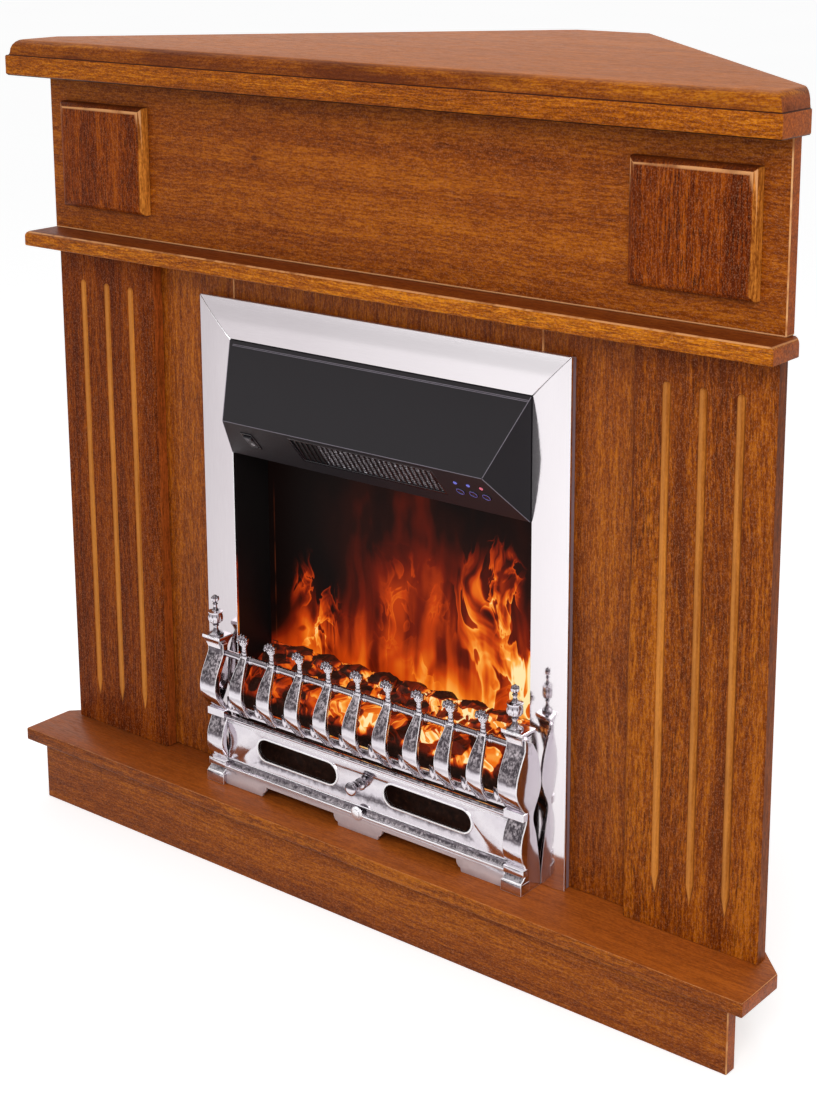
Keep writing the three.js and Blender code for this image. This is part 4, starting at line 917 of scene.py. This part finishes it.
class FIREPLACE_OT_hood(bpy.types.Operator):
    """Makes the hood, the slatted outlet, the rocker and the three buttons"""
    bl_idname = "fireplace.hood"
    bl_label = "Hood and Controls"

    def execute(self, context):
        shell = paintwork("black_plastic", tone(30, 26, 30), tone(24, 20, 24), 0.42, specular=0.2)
        paint(shell, "hood_cover")
        self.beads()
        gloss = paintwork("black_plastic_gloss", tone(30, 27, 32), tone(20, 18, 22), 0.25)
        paint(gloss, "cable_gland")
        self.outlet(gloss)
        self.rocker(gloss)
        self.buttons(gloss)
        paint(lenses(), "indicator_strip")
        paint(circuit(), "control_board", "led_board")
        return {"FINISHED"}

    def beads(self):
        """Makes pale grey beads that stand in for the highlights on the hood's edges: one along the ridge, two under
        the hood's top edge and one along each slanting edge.
        """
        # Painted highlights: the beads are pale grey on the black hood.
        edge_highlight = paintwork("black_plastic_edge", tone(128, 122, 132), tone(96, 90, 100), 0.4)
        low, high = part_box("hood_cover")
        ridge = slope_frame().translation
        edge_y = high.y - 37 * MM
        end, ridge_end = high.x, high.x - 29 * MM
        runs = [((-ridge_end, ridge.y, ridge.z), (ridge_end, ridge.y, ridge.z))]
        for share in (0.048, 0.064):
            y, z = edge_y + (ridge.y - edge_y) * share, high.z + (ridge.z - high.z) * share
            runs.append(((-end + 6 * MM, y, z), (end - 29 * MM * share, y, z)))
        for side in (-1, 1):
            for y, z in ((edge_y, high.z), (HOOD_FOOT_Y, low.z)):
                runs.append(((side * ridge_end, ridge.y, ridge.z), (side * end, y, z)))
        for number, (start, stop) in enumerate(runs):
            start, stop = Vector(start), Vector(stop)
            run = stop - start
            bpy.ops.mesh.primitive_cylinder_add(vertices=8, radius=0.45 * MM, depth=run.length - 1 * MM,
                                                location=(start + stop) / 2,
                                                rotation=run.to_track_quat("Z", "Y").to_euler())
            bead = settle(named(f"hood_bead_{number + 1}"))
            round_edges(bead, 0.2 * MM, 2, 60)
            dress(bead, edge_highlight, smooth=180)

    def outlet(self, gloss):
        """Makes the leaning slats in their border, and the mesh behind them."""
        left, right, low, high, rim = -90, 114, -50.8, -7.2, 2.6
        count, lean, half_slat = 26, 3, 1.1
        rings = [drawn(oblong(left + inset, low + inset, right - inset, high - inset)) for inset in (0, rim)]
        border = pierced("outlet_border", rings, "Z", -2.2 * MM, -0.1 * MM, 0.4 * MM)
        slat = profiled("slat", drawn([(-half_slat - lean, low + 1), (half_slat - lean, low + 1),
                                       (half_slat + lean, high - 1), (-half_slat + lean, high - 1)]),
                        "Z", -2 * MM, -0.6 * MM)
        round_edges(slat, 0.3 * MM, 1)
        pitch = (right - left - 2 * rim) / count
        slats = [copy_of(slat, "slat", (left + rim + pitch * (i + 0.5)) * MM) for i in range(count)]
        bpy.data.objects.remove(slat)
        grille = on_slope(join("outlet_grille_slats", [border, *slats]))
        dress(grille, gloss, nodes=["outlet_grille"])
        mesh = block("outlet_mesh", [(left + 1) * MM, (low + 1) * MM, -2.4 * MM],
                     [(right - 1) * MM, (high - 1) * MM, -2.05 * MM])
        edit(mesh)
        bpy.ops.mesh.subdivide(number_cuts=2)
        dress(on_slope(mesh), perforated())

    def rocker(self, gloss):
        rocker = eased("rocker_switch", 0.8 * MM)
        dress(rocker, printed_key(), "rocker_switch", ["rocker_switch"])
        rocker.name = "rocker_key"
        rings = [drawn(oblong(-wide, -tall, wide, tall), -158.2 * MM, -31 * MM)
                 for wide, tall in ((8.6, 13.8), (6.5, 11.5))]
        bezel = pierced("rocker_bezel", rings, "Z", 0.0, 1.1 * MM, 0.4 * MM)
        dress(on_slope(bezel), gloss)

    def buttons(self, gloss):
        """Makes each button's stem, flange and dished cap in one turning, and the violet ring on it."""
        violet = paintwork("button_ring", tone(112, 104, 196), tone(84, 78, 160), 0.35)
        profile = drawn([(0, -9.6), (2, -9.6), (2, -3.8), (7.2, -3.8), (7.2, -2.8), (5.6, -2.8), (5.6, 0.4),
                         (5.2, 0.85), (4.3, 0.8), (2.4, 0.35), (0, 0.25)])
        row_y = -36 * MM
        for number in (1, 2, 3):
            node = f"button_{number}"
            x = middle_of(node).x
            cap = turned(node + "_cap", profile, (x, row_y, 0), "Z", 28)
            dress(on_slope(cap), gloss, node, [node])
            bpy.ops.mesh.primitive_torus_add(location=(x, row_y, 0.65 * MM), major_radius=4.6 * MM,
                                             minor_radius=0.45 * MM, major_segments=32, minor_segments=8)
            ring = settle(named(node + "_ring"))
            dress(on_slope(ring), violet, node, smooth=180)


class FIREPLACE_OT_embers(bpy.types.Operator):
    """Makes the heap of coals and the flames on the screen behind it"""
    bl_idname = "fireplace.embers"
    bl_label = "Coals and Flames"

    def execute(self, context):
        shoulder = 0.225
        heap = added("coals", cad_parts["fuel_bed"].data.copy())
        close(heap, 0.01 * MM)
        heap.data.materials.clear()
        edit(heap, lambda centre, normal: centre.z > shoulder)
        bpy.ops.transform.resize(value=(1, 1, 0.6), orient_type="GLOBAL", center_override=(0, 0, shoulder))
        pick(heap)
        heap.data.remesh_voxel_size = 2.2 * MM
        bpy.ops.object.voxel_remesh()
        clouds = bpy.data.textures.new("coal_lumps", "CLOUDS")
        clouds.noise_scale = 16 * MM
        modify(heap, "DISPLACE", texture=clouds, strength=6 * MM, mid_level=0.75, texture_coords="LOCAL")
        modify(heap, "SMOOTH", factor=0.5, iterations=2)
        dress(heap, coal(), nodes=["fuel_bed"], smooth=180)
        paint(flame_picture(), "flame_screen")
        return {"FINISHED"}


class FIREPLACE_OT_works(bpy.types.Operator):
    """Finishes the fan heater and the flame works that sit inside"""
    bl_idname = "fireplace.works"
    bl_label = "Inner Works"

    def execute(self, context):
        zinc = paintwork("galvanised_steel", tone(190, 192, 194), tone(140, 143, 147), 0.35, 1.0, grain=90.0)
        paint(zinc, "fan_cradle", "fan_motor", "heater_element", "flame_spindle", "spindle_cradle", "spindle_motor")
        return {"FINISHED"}


# ---------- chrome fret ----------

# The strap bars: how far they swell forward, how thick they are, and half their width (mm) at shares of their height.
BAR_SWELL, BAR_THICK = 15.6 * MM, 5 * MM
BAR_WIDTHS = [(0.0, 6.8), (0.1, 7.6), (0.22, 8.8), (0.34, 9.6), (0.46, 9.8), (0.58, 9.4), (0.7, 8.5), (0.8, 7.3),
              (0.88, 6.1), (0.94, 5.3), (1.0, 4.9)]
# The end castings from the side, in mm: their front up to the knee, and their back.
POST_FOOT = [(0, 0), (0, 14), (4.5, 16.5), (7.5, 20), (9, 25), (7.5, 31), (3.5, 36), (0.6, 44), (0, 51), (0.5, 59),
             (2.5, 67), (7, 76), (9, 80), (10, 84), (8, 92)]
KNEE = 92 * MM
SIDE_REAR = [(0, 0), (-1, 20), (-8, 60), (-14, 84), (-4, 105), (0, 120), (-5, 148), (-16, 168)]


def bar_half_width(share):
    """Half the width of a strap, from its foot to its neck."""
    for (low, start), (high, stop) in zip(BAR_WIDTHS, BAR_WIDTHS[1:]):
        if share <= high:
            return (start + (stop - start) * (share - low) / (high - low)) * MM
    return BAR_WIDTHS[-1][1] * MM


def bar_face(share):
    """Where the front of a strap stands, from its foot to its neck: it swells forward below its middle."""
    rise = share / 0.42 if share < 0.42 else (1 - share) / 0.58
    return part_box("fret_bar_5")[1].y - BAR_THICK - 0.5 * MM - BAR_SWELL * math.sin(math.pi / 2 * rise) ** 1.15


class FIREPLACE_OT_fret(bpy.types.Operator):
    """Makes the strap bars with their claws, the rails and the end castings"""
    bl_idname = "fireplace.fret"
    bl_label = "Chrome Fret"

    def execute(self, context):
        self.finish, self.edge, self.calm = chrome(), edge_highlight_finish(), chrome("polished_chrome", 0.25)
        self.bars()
        self.top_rail()
        self.lower_rail()
        self.ends()
        self.finials()
        return {"FINISHED"}

    def reflection_mottled(self, piece, nodes=(), smooth=40):
        dress(piece, self.finish, "fret", nodes, self.edge, smooth)

    def polished(self, piece, nodes=(), smooth=180):
        dress(piece, self.calm, "fret", nodes, smooth=smooth)

    def bars(self):
        low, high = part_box("fret_bar_5")
        foot, top = low.z, middle_of("fret_top_rail").z + 3.6 * MM
        bpy.ops.mesh.primitive_grid_add(x_subdivisions=2, y_subdivisions=32, size=1)
        strap = named("strap")
        for vertex in strap.data.vertices:
            share = vertex.co.y + 0.5
            vertex.co = (vertex.co.x * 2 * bar_half_width(share), bar_face(share), foot + (top - foot) * share)
        modify(strap, "SOLIDIFY", thickness=BAR_THICK, offset=-1)
        close(strap)
        arrised(strap, 0.8 * MM, 2, 40)
        claw = self.claw(bar_face(1.0) + BAR_THICK / 2, top, high.z)
        for number in range(1, 10):
            node = f"fret_bar_{number}"
            x = middle_of(node).x
            self.reflection_mottled(copy_of(strap, node + "_strap", x), [node])
            self.polished(copy_of(claw, node + "_claw", x))
        for model in (strap, claw):
            bpy.data.objects.remove(model)

    def claw(self, y, top, tip_z):
        """Casts a neck that flares up into four toes, which curl over to the front."""
        neck = ((5.2, 2.6, -3), (4.9, 2.6, 1), (4.0, 2.5, 5), (3.4, 2.5, 9), (3.4, 2.6, 12), (4.3, 2.9, 15),
                (5.6, 3.2, 18))
        clay = [lump((0, y, top), (0, 0, rise), (width, depth, 3.4)) for width, depth, rise in neck]
        crown = (0, y, tip_z - 2.9 * MM)
        for tip, lean, drop in ((-6.1, -26, 2.6), (-2.1, -8, 0.0), (2.1, 8, 0.0), (6.1, 26, 2.6)):
            clay += [lump(crown, (tip * 0.72, -0.6, -drop - 5.4), (1.75, 2.7, 6.2), (0, lean, 0)),
                     lump(crown, (tip, -2.0, -drop), (2.2, 3.4, 2.8), (0, lean, 0)),
                     lump(crown, (tip, -4.8, -drop - 2.4), (1.5, 1.6, 2.9), (-18, lean, 0))]
        return cast("claw", clay, 0.4 * MM, 3)

    def top_rail(self):
        """Turns the round rail with a collar on each side of every strap."""
        low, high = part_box("fret_top_rail")
        centre = middle_of("fret_top_rail")
        radius = 4.1 * MM
        collar = [(4.1, 11.6), (4.5, 11.2), (4.7, 10.6), (4.5, 10.0), (4.1, 9.6), (4.5, 9.2), (5.1, 8.6), (5.25, 7.8),
                  (5.1, 6.9), (4.5, 6.2), (4.1, 5.7)]
        profile = [(0, low.x), (radius, low.x)]
        for number in range(1, 10):
            x = middle_of(f"fret_bar_{number}").x
            profile += drawn([(r, -away) for r, away in collar] + collar[::-1], 0, x)
        profile += [(radius, high.x), (0, high.x)]
        rail = turned("fret_rail_round", profile, (0, centre.y, centre.z), "X", 24)
        self.polished(rail, ["fret_top_rail"], 40)

    def lower_rail(self):
        """Makes the flat rail with a rounded front, and a leaf between each two straps."""
        low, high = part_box("fret_lower_rail")
        top = low.z + 9 * MM
        section = [(low.y, low.z), (high.y, low.z), (high.y, top)]
        section += drawn([(2.6, 0), (2.0, -1.0), (0.6, -2.0), (0, -3.2)], low.y, top)
        rail = profiled("fret_rail_flat", section, "X", low.x, high.x)
        arrised(rail, 0.5 * MM, 1, 40)
        self.reflection_mottled(rail, ["fret_lower_rail"], 30)
        front = (0, low.y, top)
        clay = []
        for side in (-1, 1):
            clay += [lump(front, (side * 2.9, 2.3, -1.5), (2.7, 2.5, 5.2), (0, side * 12, 0)),
                     lump(front, (side * 4.35, 2.6, 0.5), (1.3, 1.6, 3.6), (0, side * 26, 0)),
                     lump(front, (side * 2.32, 0.9, -2.4), (0.7, 0.8, 4.4), (0, side * 10, 0))]
        clay.append(lump(front, (0, 2.2, 1.4), (1.2, 1.6, 2.6)))
        leaf = cast("leaf", clay, 0.4 * MM, 2)
        edit(leaf)
        bpy.ops.transform.resize(value=(1.45, 1.1, 1.5), orient_type="GLOBAL",
                                 center_override=(0, low.y, top - 4 * MM))
        bpy.ops.transform.translate(value=(0, -1.6 * MM, 1.5 * MM))
        pick(leaf)
        first = middle_of("fret_bar_1").x
        pitch = (middle_of("fret_bar_9").x - first) / 8
        for number in range(10):
            self.polished(copy_of(leaf, f"fret_leaf_{number + 1}", first + (number - 0.5) * pitch))
        bpy.data.objects.remove(leaf)

    def ends(self):
        """Makes an end casting: a side plate, a broad strap in front of it, a flared cap, bands and a foot."""
        low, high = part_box("fret_end_right")
        rail_z = middle_of("fret_top_rail").z
        front, base = low.y + 9.8 * MM, low.z
        knee, face = base + KNEE, bar_face(1.0)
        fore = drawn(POST_FOOT, front, base)
        fore += [(bar_face(i / 24), knee + (rail_z - knee) * i / 24) for i in range(1, 25)]
        fore.append((face, high.z - 10 * MM))
        rear = drawn(softened(SIDE_REAR), high.y, base)
        outer, inner = high.x, low.x + 3 * MM
        plate = profiled("end_plate", [(y + 0.3 * MM, z) for y, z in fore] + rear[::-1], "X", outer - 4 * MM, outer)
        strap = profiled("end_strap", fore + [(y + 8 * MM, z) for y, z in fore[::-1]], "X", inner, outer - 0.4 * MM)
        for part in (plate, strap):
            arrised(part, 0.7 * MM)

        crown = ((inner + outer) / 2, face + 4 * MM, high.z)
        cap = block("cap", (crown[0] - 14 * MM, crown[1] - 12 * MM, crown[2] - 3.4 * MM),
                    (crown[0] + 14 * MM, crown[1] + 12 * MM, crown[2]))
        edit(cap, lambda centre, normal: normal.z < -0.5)
        for fall, across, along in ((1.6, 0.9, 0.9), (5, 0.84, 0.80), (6, 0.95, 0.72)):
            bpy.ops.mesh.extrude_region_move(TRANSFORM_OT_translate={"value": (0, 0, -fall * MM)})
            bpy.ops.transform.resize(value=(across, along, 1), orient_type="GLOBAL", center_override=crown)
        parts = [cap]
        for rise, half, proud in ((88 * MM, 4.5 * MM, 1.6 * MM), (24 * MM, 4 * MM, 1.2 * MM)):
            y, z = min(y for y, z in fore if abs(z - base - rise) < 9 * MM), base + rise
            parts.append(block("band", (inner - 1 * MM, y - proud, z - half),
                               (outer + 0.4 * MM, y + 7 * MM, z + half)))
        parts.append(block("foot", (inner - 1.5 * MM, front - 0.5 * MM, base + 0.1 * MM),
                           (outer + 0.4 * MM, front + 15 * MM, base + 13 * MM)))
        for part in parts:
            arrised(part, 0.6 * MM, 2, 30)
        beads = [lump(crown, (x, -11.6, -1.9), (1.5, 0.9, 1.3)) for x in (-8, -2.7, 2.7, 8)]
        whole = join("fret_end_casting", [plate, strap, *parts, *beads])
        for side in ("left", "right"):
            twin = copy_of(whole, f"fret_end_{side}_casting", mirror=side == "left")
            self.reflection_mottled(twin, [f"fret_end_{side}"], 38)
        bpy.data.objects.remove(whole)

    def finials(self):
        """Turns a finial with a ribbed urn and casts the bud on top of it."""
        low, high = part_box("finial_right")
        centre = middle_of("finial_right")
        base, tip = (centre.x, centre.y, low.z), (centre.x, centre.y, high.z)
        profile = drawn([(0, 0), (9.1, 0), (9.1, 1.4), (8.2, 2.2), (5.6, 3.2), (3.6, 5.4), (2.6, 8.6), (2.5, 10.4),
                         (3.6, 11.2), (3.7, 12.2), (3.0, 13.0), (5.2, 14.8), (7.4, 17.4), (8.3, 20.8), (8.3, 24.4),
                         (7.6, 27.0), (7.6, 27.8), (9.1, 28.4), (9.1, 29.3), (7.4, 29.9), (4.6, 30.4), (2.9, 32.2),
                         (2.1, 35.2), (2.3, 37.4), (3.2, 38.2), (2.6, 39.2), (2.4, 40.2), (0, 40.6)])
        stem = turned("stem", profile, base)
        clay = [lump(tip, (0, 0, -5.2), (3.4, 3.4, 4.7)), *lump_ring(tip, 6, 3.3, -5.4, (1.7, 1.7, 3.4)),
                lump(tip, (0, 0, -1.7), (1.8, 1.8, 1.6))]
        bud = cast("bud", clay, 0.35 * MM, 2)
        ribs = lump_ring(base, 10, 7.4, 21.4, (1.5, 1.5, 5.4))
        whole = join("finial", [stem, bud, *ribs])
        for side in ("left", "right"):
            twin = copy_of(whole, f"finial_{side}_turned", mirror=side == "left")
            self.polished(twin, [f"finial_{side}"], 50)
        bpy.data.objects.remove(whole)


class FIREPLACE_OT_cover(bpy.types.Operator):
    """Makes the ash pan cover with its two slots, mouldings, skirt and knob"""
    bl_idname = "fireplace.cover"
    bl_label = "Ash Pan Cover"

    def execute(self, context):
        low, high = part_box("ash_pan_cover")
        half, base, top = high.x, low.z, high.z
        face, foot = high.y - 4 * MM, base + 18 * MM
        head = foot + 12 * MM
        knob_high, slot_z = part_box("ash_pan_knob")[1], middle_of("ash_pan_knob").z

        slots = [self.stadium(x, slot_z) for x in (-96 * MM, 96 * MM)]
        rims = [self.stadium(x, slot_z, 2.2) for x in (-96 * MM, 96 * MM)]
        parts = [pierced("plate", [oblong(-half, foot, half, top), *slots], "Y", face, face + 4 * MM)]
        collars = [pierced("slot_rim", pair, "Y", face - 1 * MM, face + 1 * MM, 0.45 * MM) for pair in zip(rims, slots)]
        turn = [math.radians(90 * i / 6) for i in range(7)]
        cove = [(1, 1), (-0.8, 1), (-1, -0.2), *((-5.2 + 4 * math.cos(a), -1 - 6 * math.sin(a)) for a in turn),
                (-6, -7.6), (-6, -10.4), (-5.2, -11.2), (-5, -12), (3.9, -12), (3.9, 1)]
        bead = [(1, -6), (-0.9, -5.6), (-1.6, -4.6), (-2, -3.2), (-1.8, -1.8), (-1, -0.7), (0, -0.1), (1, -0.1)]
        fillet = [(1, -9.6), (-0.7, -9.2), (-0.7, -8.2), (1, -7.8)]
        for name, section, height in (("moulding", cove, head), ("bead", bead, top), ("fillet", fillet, top)):
            parts.append(profiled(name, drawn(section, face, height), "X", -half, half))
        parts.append(self.skirt(half, base, foot + 4 * MM, face - 5.5 * MM))
        for part in parts:
            arrised(part, 0.45 * MM)
        boss = turned("boss", drawn([(0, 0), (8, 0), (8, -1.2), (6.8, -2.0), (5.4, -2.2), (5.0, -3.4), (2.8, -3.95),
                                     (0, -4.0)]), (0, face - 5.85 * MM, foot + 6 * MM), "Y", 24)
        cover = join("ash_pan_cover_plate", [*parts, *collars, boss])
        dress(cover, chrome("cast_chrome_cover", pale_foot=True), "ash_pan_cover", ["ash_pan_cover"],
              edge_highlight_finish(), 38)

        profile = drawn([(0, 0), (6.8, 0), (7.2, -1.0), (6.4, -2.0), (3.6, -3.0), (3.2, -4.6), (3.6, -6.0), (6.2, -6.8),
                         (6.8, -8.0), (6.4, -9.2), (4.4, -10.2), (5.6, -11.4), (7.6, -13.0), (8.2, -15.2),
                         (7.7, -17.2), (6.0, -18.8), (3.0, -19.8), (0, -20.05)])
        knob = turned("ash_pan_knob_turned", profile, (0, knob_high.y, slot_z), "Y")
        dress(knob, chrome("polished_chrome_knob", 0.25), "ash_pan_cover", ["ash_pan_knob"], smooth=40)
        return {"FINISHED"}

    def stadium(self, x, z, grow=0.0):
        """The outline of a slot with round ends, larger by an amount in millimetres."""
        radius, steps = 13 + grow, 14
        turn = [math.radians(-90 + 180 * i / steps) for i in range(steps + 1)]
        right = [(48 + radius * math.cos(a), radius * math.sin(a)) for a in turn]
        return drawn(right + [(-u, -v) for u, v in right], x, z)

    def hollow(self, x, base, side):
        """One side of an arch of the skirt, from its foot inward to its crown."""
        turn = [math.radians(90 * i / 5) for i in range(6)]
        run = [(0, 0), (1.2, 4.6), *((1.2 + 5.8 * math.sin(a), 13 - 8.4 * math.cos(a)) for a in turn)]
        return drawn([(side * u, v) for u, v in run], x, base)

    def skirt(self, half, base, top, front):
        """Makes the skirt on three feet, with an arch between each two."""
        foot = 58 * MM
        outline = [(-half, base), *self.hollow(-half + foot, base, 1), *self.hollow(-foot / 2, base, -1)[::-1],
                   *self.hollow(foot / 2, base, 1), *self.hollow(half - foot, base, -1)[::-1], (half, base),
                   (half, top), (-half, top)]
        return profiled("skirt", outline, "Y", front, front + 4 * MM)


# ---------- panel and registration ----------

MAKERS = (FIREPLACE_OT_stage, FIREPLACE_OT_boards, FIREPLACE_OT_frame, FIREPLACE_OT_hood, FIREPLACE_OT_embers,
          FIREPLACE_OT_works, FIREPLACE_OT_fret, FIREPLACE_OT_cover)


class FIREPLACE_PT_sidebar(bpy.types.Panel):
    """Lists the pieces of the fireplace and the choices that shape them"""
    bl_idname = "FIREPLACE_PT_sidebar"
    bl_label = "Corner Fireplace"
    bl_space_type = "VIEW_3D"
    bl_region_type = "UI"
    bl_category = "Fireplace"

    def draw(self, context):
        for name in FireplaceSettings.__annotations__:
            self.layout.prop(context.scene.fireplace, name)
        for maker in MAKERS:
            self.layout.operator(maker.bl_idname)


def register():
    for entry in (FireplaceSettings, *MAKERS, FIREPLACE_PT_sidebar):
        bpy.utils.register_class(entry)
    bpy.types.Scene.fireplace = bpy.props.PointerProperty(type=FireplaceSettings)


def unregister():
    del bpy.types.Scene.fireplace
    for entry in (FIREPLACE_PT_sidebar, *MAKERS[::-1], FireplaceSettings):
        bpy.utils.unregister_class(entry)


def main():
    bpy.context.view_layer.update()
    register()
    for maker in MAKERS:
        group, name = maker.bl_idname.split(".")
        getattr(getattr(bpy.ops, group), name)()


if __name__ == "__main__":
    main()
